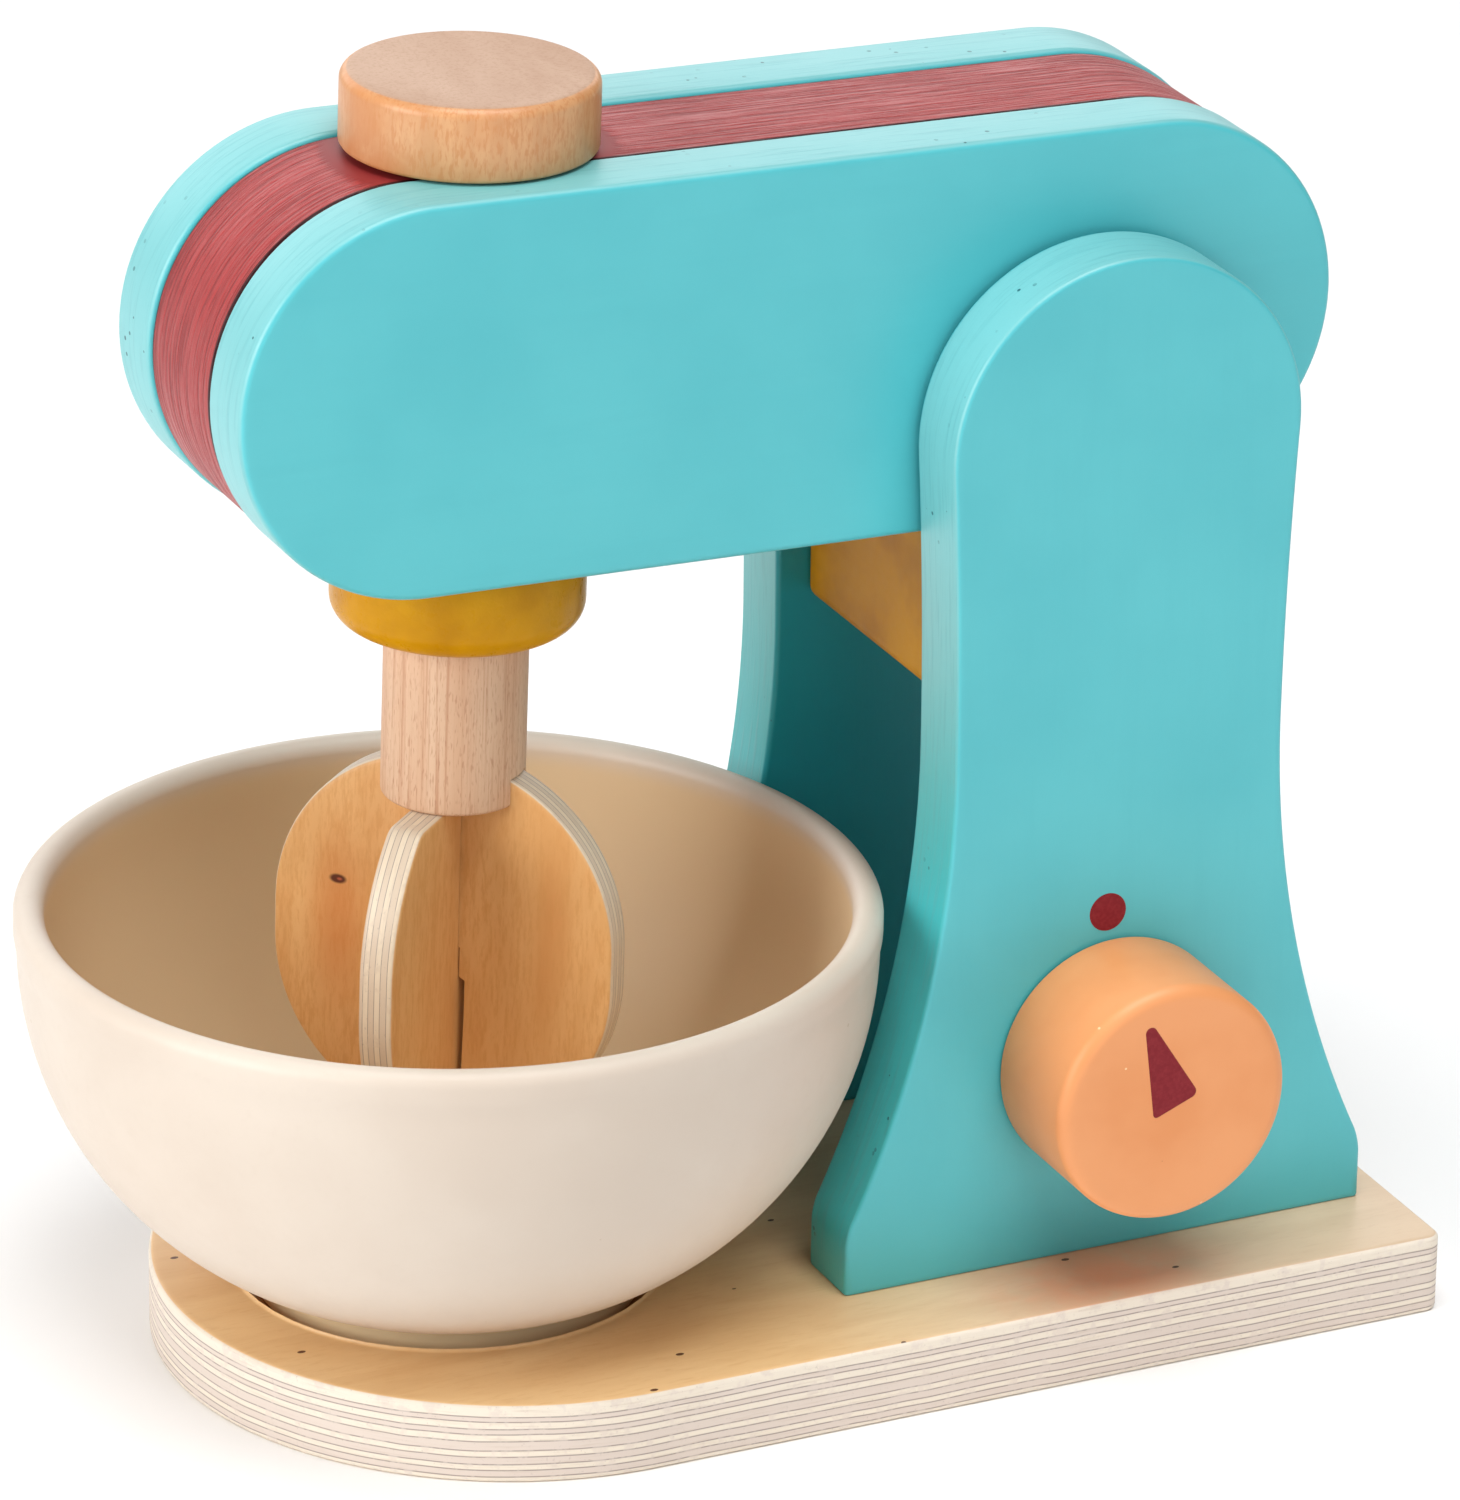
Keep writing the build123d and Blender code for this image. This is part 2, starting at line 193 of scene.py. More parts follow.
# Dial, from the near upright's outer face
facing_dial_side = Matrix.Rotation(math.radians(90), 4, "X")
dial_gap = 0.0004
dial_depth = 0.0242
dial_front_round = 0.0024
dial_back_round = 0.0006
dial_socket_radius = 0.00505
dial_socket_depth = 0.014
print_proud = 0.00004
dot_radius = 0.0036
dot_x = dial_center.x - 0.00155
dot_z = 0.0813
pointer_corners = ((-0.0051, 0.0149, 0.0011), (-0.0035, -0.0011, 0.0007), (0.003, 0.0021, 0.0012))

# Bowl, from its foot's underside
bowl_seat = Matrix.Translation(bowl_foot)
bowl_radius = 0.07697
bowl_height = 0.075
bowl_band = 0.008
bowl_band_step = 0.0005
bowl_band_slope = 0.0024
bowl_wall = 0.005
bowl_foot_radius = 0.035
bowl_foot_height = 0.0056
bowl_foot_wall = 0.006
bowl_foot_hollow = 0.0024
bowl_floor = 0.0064
bowl_floor_radius = 0.022
bowl_floor_soften = 0.0014
bowl_crease_soften = 0.0005
bowl_band_soften = 0.0007
bowl_foot_soften = 0.0008

# Bands where one tone fades into the next, as distances past an edge
inner_shade_band = (0.0012, 0.0004)
knob_zone_band = (0.002, 0.005)
core_gap_shade_band = (-0.0012, -0.0006)
below_lip_band = (-0.001, -0.006)
bowl_crease_band = (0.0004, -0.0004)
recess_band = (0.0026, 0.0018)
recess_mouth_shade_band = (-0.00002, -0.00025)
disc_face_band = (-0.00035, -0.0001)
knob_end_band = (-0.00022, -0.00008)


# Mesh tools
def arc(bm, start, center, degrees, steps, axis=side_axis):
    """Sweep a vertex round a centre and return the vertex where it ends."""
    swept = bmesh.ops.spin(bm, geom=[start], cent=center, axis=axis, angle=math.radians(degrees), steps=steps)
    return next(item for item in swept["geom_last"] if isinstance(item, bmesh.types.BMVert))


def run(bm, start, to):
    """Draw a straight edge from a vertex to a place and return its end."""
    end = bmesh.ops.extrude_vert_indiv(bm, verts=[start])["verts"][0]
    end.co = to
    return end


def close_outline(bm, last, first):
    """Join the ends of an outline and fill it with one face."""
    bm.edges.new((last, first))
    bmesh.ops.remove_doubles(bm, verts=bm.verts, dist=merge_distance)
    return bmesh.ops.contextual_create(bm, geom=bm.edges[:])["faces"][0]


def once(items):
    """Each item once, in the order they come."""
    return list(dict.fromkeys(items))


def verts_of(geometry):
    return [item for item in geometry if isinstance(item, bmesh.types.BMVert)]


def open_edges(geometry):
    return [item for item in geometry if isinstance(item, bmesh.types.BMEdge) and item.is_boundary]


def thicken(bm, faces, along):
    """Pull faces out into a solid."""
    grown = bmesh.ops.extrude_face_region(bm, geom=faces)["geom"]
    bmesh.ops.translate(bm, verts=verts_of(grown), vec=along)
    bmesh.ops.recalc_face_normals(bm, faces=bm.faces)


def soften(bm, edges, radius, steps):
    """Round edges over."""
    bmesh.ops.bevel(
        bm, geom=list(edges), offset=radius, offset_type="OFFSET", segments=steps, profile=0.5,
        affect="EDGES", material=-1)
    bm.normal_update()


def rim_edges(bm, axis, level):
    """The edges that lie in one flat level across an axis."""
    return [edge for edge in bm.edges if all(abs(vert.co[axis] - level) < near for vert in edge.verts)]


def flat_face(bm, axis, level):
    """The largest face in one flat level across an axis."""
    level_faces = [face for face in bm.faces if all(abs(vert.co[axis] - level) < near for vert in face.verts)]
    return max(level_faces, key=lambda face: face.calc_area())


def ring_face(bm, axis, level):
    """Set a narrow flat ring inside a level's face, so that its shading stays flat to the edge."""
    face = flat_face(bm, axis, level)
    bmesh.ops.inset_region(bm, faces=[face], thickness=flat_ring, use_even_offset=True, use_boundary=True)
    return face


def sink(bm, face, holes):
    """Sink round holes into a flat face. Each is a place, a radius, a depth and whether it has a floor."""
    inward = -face.normal
    turn = inward.to_track_quat("Z", "X").to_matrix().to_4x4()
    rims = list(face.edges)
    bmesh.ops.delete(bm, geom=[face], context="FACES_ONLY")
    for place, radius, depth, has_floor in holes:
        seat = Matrix.Translation(place) @ turn
        ring = bmesh.ops.create_circle(bm, segments=hole_steps, radius=radius, matrix=seat)["verts"]
        mouth = once(edge for vert in ring for edge in vert.link_edges)
        wall = bmesh.ops.extrude_edge_only(bm, edges=mouth)["geom"]
        bmesh.ops.translate(bm, verts=verts_of(wall), vec=inward * depth)
        if has_floor:
            bmesh.ops.contextual_create(bm, geom=open_edges(wall))
        rims += mouth
    bmesh.ops.triangle_fill(bm, edges=rims, use_beauty=True, normal=-inward)


def mend(bm):
    """Merge points that meet and turn every face outward."""
    bmesh.ops.remove_doubles(bm, verts=bm.verts, dist=merge_distance)
    bmesh.ops.recalc_face_normals(bm, faces=bm.faces)


def in_scene(name, data):
    """A new object in the scene, at the origin."""
    made = bpy.data.objects.new(name, data)
    bpy.context.scene.collection.objects.link(made)
    return made


def piece(name, bm, body, finish, replaces=(), seat=None):
    """Turn a bmesh into a piece: placed, smooth, finished and riding on its body."""
    if seat is not None:
        bmesh.ops.transform(bm, matrix=seat, verts=bm.verts)
    mend(bm)
    mesh = bpy.data.meshes.new(name)
    bm.to_mesh(mesh)
    bm.free()
    mesh.shade_smooth()
    mesh.set_sharp_from_angle(angle=crisp_angle)
    mesh.materials.append(finish)
    made = in_scene(name, mesh)
    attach(made, body)
    if replaces:
        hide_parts(*replaces)


# Node tools: a socket or a shader tells which tree it belongs to
def srgb(red, green, blue):
    """A display colour, 0 to 255, as the linear colour that shaders take."""
    def linear(value):
        share = value / 255
        return share / 12.92 if share <= 0.04045 else ((share + 0.055) / 1.055) ** 2.4
    return (linear(red), linear(green), linear(blue), 1.0)


def new_finish(name, roughness, gloss=0.5):
    """An empty material with its tree and shader."""
    material = bpy.data.materials.new(name)
    material.use_nodes = True
    tree = material.node_tree
    shader = tree.nodes["Principled BSDF"]
    shader.inputs["Roughness"].default_value = roughness
    shader.inputs["Specular IOR Level"].default_value = gloss
    return material, tree, shader


def node(tree, kind, inputs=(), **settings):
    """Add a node, with its settings, and values or links for its inputs."""
    made = tree.nodes.new("ShaderNode" + kind)
    for key, value in settings.items():
        setattr(made, key, value)
    for socket, value in dict(inputs).items():
        if isinstance(value, bpy.types.NodeSocket):
            tree.links.new(value, made.inputs[socket])
        else:
            made.inputs[socket].default_value = value
    return made


def surface_place(tree, seat=None):
    """Where a point lies on the piece, in the frame or in a seat of the piece's own."""
    place = node(tree, "TexCoord").outputs["Object"]
    if seat is None:
        return place
    location, turn, _ = seat.decompose()
    mapping = node(tree, "Mapping", {"Vector": place}, vector_type="TEXTURE")
    mapping.inputs["Location"].default_value = location
    mapping.inputs["Rotation"].default_value = turn.to_euler("XYZ")
    return mapping.outputs["Vector"]


def vector_calc(operation, *values):
    return node(values[0].id_data, "VectorMath", dict(enumerate(values)), operation=operation).outputs


def stretched(place, scale):
    """A place with each direction scaled by itself."""
    return vector_calc("MULTIPLY", place, scale)["Vector"]


def cloud(place, scale, detail=2.0, roughness=0.5, distortion=0.0):
    """Soft noise, 0 to 1."""
    inputs = {"Vector": place, "Scale": scale, "Detail": detail, "Roughness": roughness}
    inputs["Distortion"] = distortion
    return node(place.id_data, "TexNoise", inputs).outputs["Fac"]


def grained(place, scale, *settings):
    """Soft noise scaled by each direction, for grain that runs one way."""
    return cloud(stretched(place, scale), 1.0, *settings)


def reach(value, low, high):
    """How far a value has come from low to high, 0 to 1, eased at both ends."""
    inputs = {"Value": value, "From Min": low, "From Max": high}
    return node(value.id_data, "MapRange", inputs, interpolation_type="SMOOTHSTEP").outputs["Result"]


def past(value, edge, band):
    """How far a value has come through a band beside an edge, 0 to 1."""
    return reach(value, edge + band[0], edge + band[1])


def calc(operation, first, second=0.0):
    return node(first.id_data, "Math", {0: first, 1: second}, operation=operation).outputs["Value"]


def times(first, second):
    return calc("MULTIPLY", first, second)


def blend(share, first, second):
    """Mix two colours by a share."""
    return node(share.id_data, "Mix", {0: share, 6: first, 7: second}, data_type="RGBA").outputs[2]


def tint(colour, value, low, high, share, tone):
    """Tint a colour where a value comes from low to high, by no more than a share."""
    return blend(times(reach(value, low, high), share), colour, tone)


def colour_shader(shader, colour):
    shader.id_data.links.new(colour, shader.inputs["Base Color"])


def roughen(shader, value, low, high):
    """Let a value, 0 to 1, lead the roughness from low to high."""
    inputs = {"Value": value, "To Min": low, "To Max": high}
    rough = node(shader.id_data, "MapRange", inputs).outputs["Result"]
    shader.id_data.links.new(rough, shader.inputs["Roughness"])


def tones(value, stops):
    """A colour ramp from pairs of a share and a colour."""
    ramp = node(value.id_data, "ValToRGB", {"Fac": value})
    marks = ramp.color_ramp.elements
    while len(marks) < len(stops):
        marks.new(1.0)
    for mark, (share, colour) in zip(marks, stops):
        mark.position = share
        mark.color = colour
    return ramp.outputs["Color"]


def axis_value(place, axis):
    return node(place.id_data, "SeparateXYZ", {"Vector": place}).outputs[axis]


def size_along(place, axis):
    return calc("ABSOLUTE", axis_value(place, axis))


def facing(tree):
    return node(tree, "NewGeometry").outputs["Normal"]


def off_axis(tree, seat):
    """The way from a seat's own upright axis straight out to a place."""
    return stretched(surface_place(tree, seat), (1.0, 1.0, 0.0))


def distance_off_axis(tree, seat):
    return vector_calc("LENGTH", off_axis(tree, seat))["Value"]


def relief(shader, heights):
    """Stack relief on a shader. Each entry is a height, its strength and its depth in metres."""
    normal = None
    for height, strength, depth in heights:
        inputs = {"Height": height, "Strength": strength, "Distance": depth}
        if normal is not None:
            inputs["Normal"] = normal
        normal = node(shader.id_data, "Bump", inputs).outputs["Normal"]
    shader.id_data.links.new(normal, shader.inputs["Normal"])


def specks(place, scale, size, share):
    """Sparse round specks: 1 inside a speck. The share says how many cells have one."""
    cells = node(place.id_data, "TexVoronoi", {"Vector": place, "Scale": scale, "Randomness": 1.0})
    inside = calc("LESS_THAN", cells.outputs["Distance"], size)
    chosen = calc("LESS_THAN", axis_value(cells.outputs["Color"], "X"), share)
    return times(inside, chosen)


# Finishes
teal = srgb(84, 196, 204)
teal_deep = srgb(76, 189, 198)
teal_rim_lit = srgb(122, 196, 199)
teal_rim_shaded = srgb(62, 188, 192)
teal_inner_shade = srgb(14, 160, 171)
teal_sawn = srgb(92, 172, 178)
teal_pore = srgb(20, 104, 112)
red = srgb(172, 62, 62)
red_deep = srgb(144, 46, 47)
red_gap_shade = srgb(52, 12, 16)
mustard = srgb(206, 146, 6)
mustard_deep = srgb(186, 126, 0)
orange = srgb(240, 160, 102)
orange_deep = srgb(232, 148, 88)
orange_pinhole = srgb(190, 110, 52)
orange_dust = srgb(250, 206, 160)
print_red = srgb(130, 26, 36)
print_red_worn = srgb(142, 38, 46)
cream = srgb(220, 206, 191)
cream_deep = srgb(212, 196, 180)
cream_inside_shade = srgb(226, 200, 162)
cream_foot_lit = srgb(254, 228, 180)
golden_lit = srgb(244, 205, 150)
golden_deep_lit = srgb(226, 178, 120)
cream_fleck = srgb(190, 166, 138)
routed_brown_and_mouth_shade = srgb(188, 132, 78)
honey = srgb(226, 198, 166)
honey_deep = srgb(212, 180, 146)
tea_stain_lit = srgb(238, 166, 126)
amber = srgb(236, 186, 124)
amber_deep = srgb(218, 158, 92)
amber_red = srgb(212, 132, 66)
knot_brown = srgb(92, 42, 24)
knot_heart = srgb(176, 88, 60)
ply_cream = srgb(240, 228, 211)
ply_pink = srgb(226, 211, 199)
disc_cream = srgb(232, 214, 188)
disc_tan = srgb(220, 200, 176)
glue_line = srgb(140, 118, 110)
ply_fibre = srgb(204, 184, 164)
fleck_brown = srgb(96, 56, 30)
maple = srgb(228, 192, 160)
maple_warm = srgb(220, 178, 144)
maple_line = srgb(198, 144, 110)
maple_dash = srgb(184, 124, 92)
knob_pale = srgb(218, 163, 115)
knob_deep = srgb(190, 129, 80)
knob_orange = srgb(205, 137, 83)
end_grain = srgb(201, 167, 143)
end_grain_deep = srgb(184, 146, 119)
end_grain_pore = srgb(168, 126, 94)
steel_tone = srgb(176, 174, 168)
steel_dark = srgb(120, 118, 114)
washer_tone = srgb(226, 222, 212)
washer_dark = srgb(206, 200, 188)
floor_white = (0.97, 0.97, 0.97, 1.0)
fibre_fineness = 12


def teal_finish(name, grain, inner_y=None):
    """Satin teal paint on wood: faint grain, streaked rims with open pores, a painted highlight that makes
    the rims paler up high, and painted shade that deepens the rims low down and the uprights' inner faces.
    """
    material, tree, shader = new_finish(name, 0.4, 0.7)
    place = surface_place(tree)
    patch = cloud(place, 28.0, 3.0)
    fibre = grained(place, grain, 3.0, 0.6)
    peel = cloud(place, 900.0, 2.0)
    rim = reach(size_along(facing(tree), "Y"), 0.9, 0.5)
    pores = specks(place, 480.0, 0.2, 0.2)
    cluster = reach(cloud(place, 70.0), 0.54, 0.66)
    pores = times(times(pores, cluster), rim)
    colour = blend(reach(patch, 0.3, 0.8), teal, teal_deep)
    colour = tint(colour, fibre, 0.45, 0.75, 0.3, teal_deep)
    # Painted highlight and shade on the rims: paler lit rims up high, deeper shaded rims low down by the bowl
    low = reach(axis_value(place, "Z"), rim_lit_above, rim_shaded_below)
    colour = blend(rim, colour, blend(low, teal_rim_lit, teal_rim_shaded))
    sawn = grained(place, (60.0, 1100.0, 60.0), 3.0, 0.65)
    streaks = times(reach(sawn, 0.48, 0.7), rim)
    colour = blend(times(streaks, 0.4), colour, teal_sawn)
    # Painted shade: the uprights' inner sides, facing each other, get a deeper teal
    if inner_y is not None:
        inner = past(size_along(place, "Y"), inner_y, inner_shade_band)
        colour = blend(inner, colour, teal_inner_shade)
    colour = blend(pores, colour, teal_pore)
    colour_shader(shader, colour)
    roughen(shader, patch, 0.34, 0.46)
    depth = calc("SUBTRACT", fibre, times(pores, 2.0))
    relief(shader, ((depth, 0.4, 0.00014), (peel, 0.16, 0.00007), (streaks, 0.15, 0.0002)))
    return material


def red_finish():
    """Satin red paint over raised lengthwise grain: smooth under the knob, with painted shade in a dark band
    along the plates.
    """
    material, tree, shader = new_finish("red paint", 0.38, 0.3)
    place = surface_place(tree)
    ridge = grained(place, (50.0, 1250.0, 50.0), 3.0, 0.6, 0.25)
    ridge = reach(ridge, 0.3, 0.62)
    fine = grained(place, (260.0, 3600.0, 260.0), 2.0)
    rough_zone = past(distance_off_axis(tree, spindle_seat), turned_radius, knob_zone_band)
    ridge = times(ridge, rough_zone)
    # Painted shade in the gap where the core meets the plates
    joint = past(size_along(place, "Y"), core_side, core_gap_shade_band)
    colour = blend(reach(ridge, 0.1, 0.6), red_deep, red)
    colour = blend(joint, colour, red_gap_shade)
    colour_shader(shader, colour)
    roughen(shader, ridge, 0.48, 0.32)
    fine = times(fine, rough_zone)
    relief(shader, ((ridge, 0.85, 0.0004), (fine, 0.4, 0.0001)))
    return material


def mustard_finish(name, roughness, grain, peel_strength):
    """Mustard paint: brushed thick on the turned collar, thinner over grain on the block."""
    material, tree, shader = new_finish(name, roughness, 0.15)
    place = surface_place(tree)
    patch = cloud(place, 70.0, 3.0)
    fibre = grained(place, grain, 3.0)
    peel = cloud(place, 520.0, 3.0, 0.6)
    colour = blend(reach(patch, 0.35, 0.7), mustard, mustard_deep)
    colour = tint(colour, fibre, 0.5, 0.75, 0.35, mustard_deep)
    colour_shader(shader, colour)
    roughen(shader, peel, roughness - 0.06, roughness + 0.08)
    relief(shader, ((fibre, 0.25, 0.0001), (peel, peel_strength, 0.00022)))
    return material


def orange_finish():
    """Satin orange paint with a few dust specks and pinholes."""
    material, tree, shader = new_finish("orange paint", 0.42)
    place = surface_place(tree)
    patch = cloud(place, 45.0, 3.0)
    peel = cloud(place, 850.0, 2.0)
    pinholes = specks(place, 260.0, 0.07, 0.16)
    dust = specks(stretched(place, (1.0, 1.0, 1.1)), 190.0, 0.05, 0.18)
    colour = blend(reach(patch, 0.35, 0.75), orange, orange_deep)
    colour = blend(pinholes, colour, orange_pinhole)
    colour = blend(dust, colour, orange_dust)
    colour_shader(shader, colour)
    roughen(shader, patch, 0.36, 0.5)
    depth = calc("SUBTRACT", peel, times(pinholes, 3.0))
    relief(shader, ((depth, 0.12, 0.00008),))
    return material


def print_finish():
    """Flat printed ink with a faint grain of the roller."""
    material, tree, shader = new_finish("printed red ink", 0.6, 0.25)
    place = surface_place(tree)
    grain = cloud(place, 1500.0, 2.0)
    colour = blend(reach(grain, 0.3, 0.8), print_red, print_red_worn)
    colour_shader(shader, colour)
    relief(shader, ((grain, 0.08, 0.00005),))
    return material


def cream_finish():
    """Satin cream bowl with faint mottling and sparse flecks, with painted warm shade inside and painted
    light on its foot.
    """
    material, tree, shader = new_finish("cream bowl", 0.46)
    place = surface_place(tree)
    patch = cloud(place, 22.0, 3.0)
    mottle = cloud(place, 420.0, 3.0, 0.6)
    flecks = specks(place, 150.0, 0.05, 0.12)
    colour = blend(reach(patch, 0.3, 0.75), cream, cream_deep)
    colour = tint(colour, mottle, 0.5, 0.8, 0.25, cream_deep)
    colour = blend(times(flecks, 0.6), colour, cream_fleck)
    outward = vector_calc("NORMALIZE", off_axis(tree, bowl_seat))["Vector"]
    faced = vector_calc("DOT_PRODUCT", facing(tree), outward)["Value"]
    height = axis_value(place, "Z")
    below_lip = past(height, bowl_foot.z + bowl_height, below_lip_band)
    inside = times(reach(faced, 0.2, -0.1), below_lip)
    foot = past(height, bowl_foot.z + bowl_foot_height, bowl_crease_band)
    # Painted shade with warm bounce light on the bowl's inner walls
    colour = blend(inside, colour, cream_inside_shade)
    # Painted light on the foot, which sits in the bowl's shade
    colour = blend(foot, colour, cream_foot_lit)
    colour_shader(shader, colour)
    roughen(shader, mottle, 0.4, 0.54)
    relief(shader, ((mottle, 0.1, 0.00008), (patch, 0.05, 0.0004)))
    return material


def veneer_face(place, grain, pale, deep):
    """Lacquered veneer: soft flowing grain and fine fibres."""
    flow = grained(place, grain, 4.0, 0.6, 0.8)
    fibre = grained(place, tuple(fibre_fineness * value for value in grain), 3.0, 0.7)
    colour = tint(pale, flow, 0.3, 0.75, 0.7, deep)
    return tint(colour, fibre, 0.48, 0.75, 0.45, deep), fibre


def patch_share(place, middle, spread, full, none):
    """How much a place lies in a soft patch: 1 inside the full distance, 0 beyond the last."""
    spread_middle = tuple(a * b for a, b in zip(middle, spread))
    away = vector_calc("DISTANCE", stretched(place, spread), spread_middle)["Value"]
    return reach(away, none, full)


def ply_stops(lines, line_share, pale, dark):
    """Ramp stops for plies of two tones in turn, with a line of the given share where they meet."""
    stops = [(0.0, pale)]
    for index, line in enumerate(lines):
        below, above = (pale, dark) if index % 2 == 0 else (dark, pale)
        stops += [(line - line_share, below), (line, glue_line), (line + line_share, above)]
    return stops


def ply_edge(height, place, fibre_grain, lines, line_share, waver, pale, dark):
    """Ply seen on edge: glue lines waver and break up, and each ply has its own fibres and pits."""
    wave = cloud(place, 55.0, 2.0)
    shift = times(calc("SUBTRACT", wave, 0.5), waver)
    layers = tones(calc("ADD", height, shift), ply_stops(lines, line_share, pale, dark))
    fibre = grained(place, fibre_grain, 3.0, 0.65)
    worn = cloud(place, 260.0, 3.0, 0.7)
    pits = cloud(place, 1500.0, 2.0, 0.7)
    colour = tint(layers, worn, 0.5, 0.64, 0.6, dark)
    colour = tint(colour, fibre, 0.5, 0.75, 0.35, ply_fibre)
    return tint(colour, pits, 0.62, 0.8, 0.3, glue_line), pits


def base_finish():
    """Birch ply board: veneer with painted warm light by the bowl, paler behind, a tea-coloured stain with
    painted light on it, painted shade at the recess mouth, bare plies on edge.
    """
    material, tree, shader = new_finish("birch ply board", 0.46)
    place = surface_place(tree)
    # Painted light: the veneer is warmer and lighter towards the bowl, lifting the bowl's shadow
    rearward = reach(axis_value(place, "X"), lit_golden_until_x, honey_from_x)
    pale = blend(rearward, golden_lit, honey)
    deep = blend(rearward, golden_deep_lit, honey_deep)
    face, fibre = veneer_face(place, (16.0, 70.0, 16.0), pale, deep)
    # A tea-coloured stain in the veneer, made lighter as painted light where the dial's shadow falls
    patch = patch_share(place, tea_place, (0.6, 1.0, 1.0), 0.002, 0.019)
    mottle = reach(cloud(place, 110.0, 3.0), 0.1, 0.62)
    face = blend(times(patch, mottle), face, tea_stain_lit)
    flecks = specks(stretched(place, (0.6, 1.0, 1.0)), 170.0, 0.08, 0.45)
    face = blend(flecks, face, fleck_brown)
    in_recess = past(distance_off_axis(tree, bowl_seat), recess_radius, recess_band)
    level = axis_value(place, "Z")
    # Routed ply brown in the recess; on the recess mouth's rounded edge the same brown is painted shade
    sunk = past(level, board_high.z, recess_mouth_shade_band)
    face = blend(times(in_recess, sunk), face, routed_brown_and_mouth_shade)
    height = calc("DIVIDE", level, board_high.z)
    line_shares = (0.075, 0.16, 0.235, 0.33, 0.41, 0.53, 0.62, 0.69, 0.785, 0.85)
    grain = (90.0, 90.0, 1800.0)
    edge, pits = ply_edge(height, place, grain, line_shares, 0.012, 0.05, ply_cream, ply_pink)
    lying = reach(size_along(facing(tree), "Z"), 0.8, 0.92)
    on_face = calc("MAXIMUM", lying, in_recess)
    colour_shader(shader, blend(on_face, edge, face))
    roughen(shader, on_face, 0.62, 0.4)
    relief(shader, ((fibre, 0.12, 0.00008), (pits, 0.2, 0.0001)))
    return material


def disc_finish(name, seat, knot):
    """Thin ply disc: amber veneer, upright grain, a layered edge and, on one, a knot over a warm streak."""
    material, tree, shader = new_finish(name, 0.42)
    place = surface_place(tree, seat)
    face, fibre = veneer_face(place, (70.0, 70.0, 16.0), amber, amber_deep)
    streak = grained(place, (75.0, 40.0, 26.0), 3.0)
    face = tint(face, streak, 0.5, 0.8, 0.3, amber_red)
    grit = grained(place, (1700.0, 1700.0, 260.0), 3.0, 0.7)
    face = tint(face, grit, 0.45, 0.65, 0.6, amber_deep)
    if knot is not None:
        glow = patch_share(place, knot + knot_glow_shift, knot_glow_spread, 0.001, 0.008)
        ring = patch_share(place, knot, knot_spread, 0.0006, 0.0011)
        heart = patch_share(place, knot + knot_heart_shift, knot_spread, 0.0001, 0.0004)
        face = blend(times(glow, 0.65), face, amber_red)
        face = blend(ring, face, knot_brown)
        face = blend(heart, face, knot_heart)
    height = calc("DIVIDE", axis_value(place, "Y"), 2 * disc_half_thickness)
    height = calc("ADD", height, 0.5)
    line_shares = (0.17, 0.36, 0.53, 0.7, 0.86)
    grain = (160.0, 1600.0, 160.0)
    edge, pits = ply_edge(height, place, grain, line_shares, 0.016, 0.03, disc_cream, disc_tan)
    on_face = past(size_along(place, "Y"), disc_half_thickness, disc_face_band)
    colour_shader(shader, blend(on_face, edge, face))
    relief(shader, ((fibre, 0.16, 0.00008), (pits, 0.15, 0.0001)))
    return material


def knob_finish():
    """Turned wood: honey sides with fine turning marks and a paler sanded end."""
    material, tree, shader = new_finish("turned knob wood", 0.42)
    place = surface_place(tree, spindle_seat)
    streak = grained(place, (230.0, 230.0, 24.0), 3.0, 0.6)
    mottle = cloud(place, 75.0, 3.0, 0.6, 0.6)
    turning = grained(place, (40.0, 40.0, 1500.0), 2.0)
    pores = grained(place, (1500.0, 1500.0, 400.0), 2.0, 0.7)
    side = tint(knob_pale, streak, 0.35, 0.75, 0.5, knob_deep)
    side = tint(side, mottle, 0.42, 0.68, 0.8, knob_orange)
    side = tint(side, pores, 0.45, 0.65, 0.75, knob_orange)
    ring = grained(place, (60.0, 18.0, 60.0), 3.0, 0.6, 0.5)
    end = blend(reach(ring, 0.3, 0.75), end_grain, end_grain_deep)
    end = tint(end, pores, 0.45, 0.7, 0.36, end_grain_pore)
    on_end = past(axis_value(place, "Z"), knob_top, knob_end_band)
    colour_shader(shader, blend(on_end, side, end))
    roughen(shader, on_end, 0.36, 0.58)
    relief(shader, ((turning, 0.16, 0.00008), (pores, 0.12, 0.00006)))
    return material


def dowel_finish(name, seat):
    """Plain dowel wood: fine pinkish lines and short pores along its length."""
    material, tree, shader = new_finish(name, 0.56)
    place = surface_place(tree, seat)
    lines = grained(place, (1700.0, 1700.0, 22.0), 3.0, 0.65)
    broad = grained(place, (240.0, 240.0, 9.0), 2.0)
    dashes = grained(place, (3600.0, 3600.0, 520.0), 1.0)
    colour = blend(reach(broad, 0.35, 0.7), maple, maple_warm)
    colour = tint(colour, lines, 0.48, 0.7, 0.75, maple_line)
    colour = tint(colour, dashes, 0.55, 0.72, 0.5, maple_dash)
    colour_shader(shader, colour)
    relief(shader, ((lines, 0.2, 0.0001), (dashes, 0.2, 0.00008)))
    return material


def steel_finish():
    """Plated screw steel with fine scratches."""
    material, tree, shader = new_finish("plated steel", 0.32)
    shader.inputs["Metallic"].default_value = 1.0
    place = surface_place(tree)
    scratch = grained(place, (3000.0, 300.0, 900.0), 2.0)
    colour_shader(shader, blend(reach(scratch, 0.3, 0.8), steel_tone, steel_dark))
    roughen(shader, scratch, 0.24, 0.42)
    relief(shader, ((scratch, 0.1, 0.00003),))
    return material


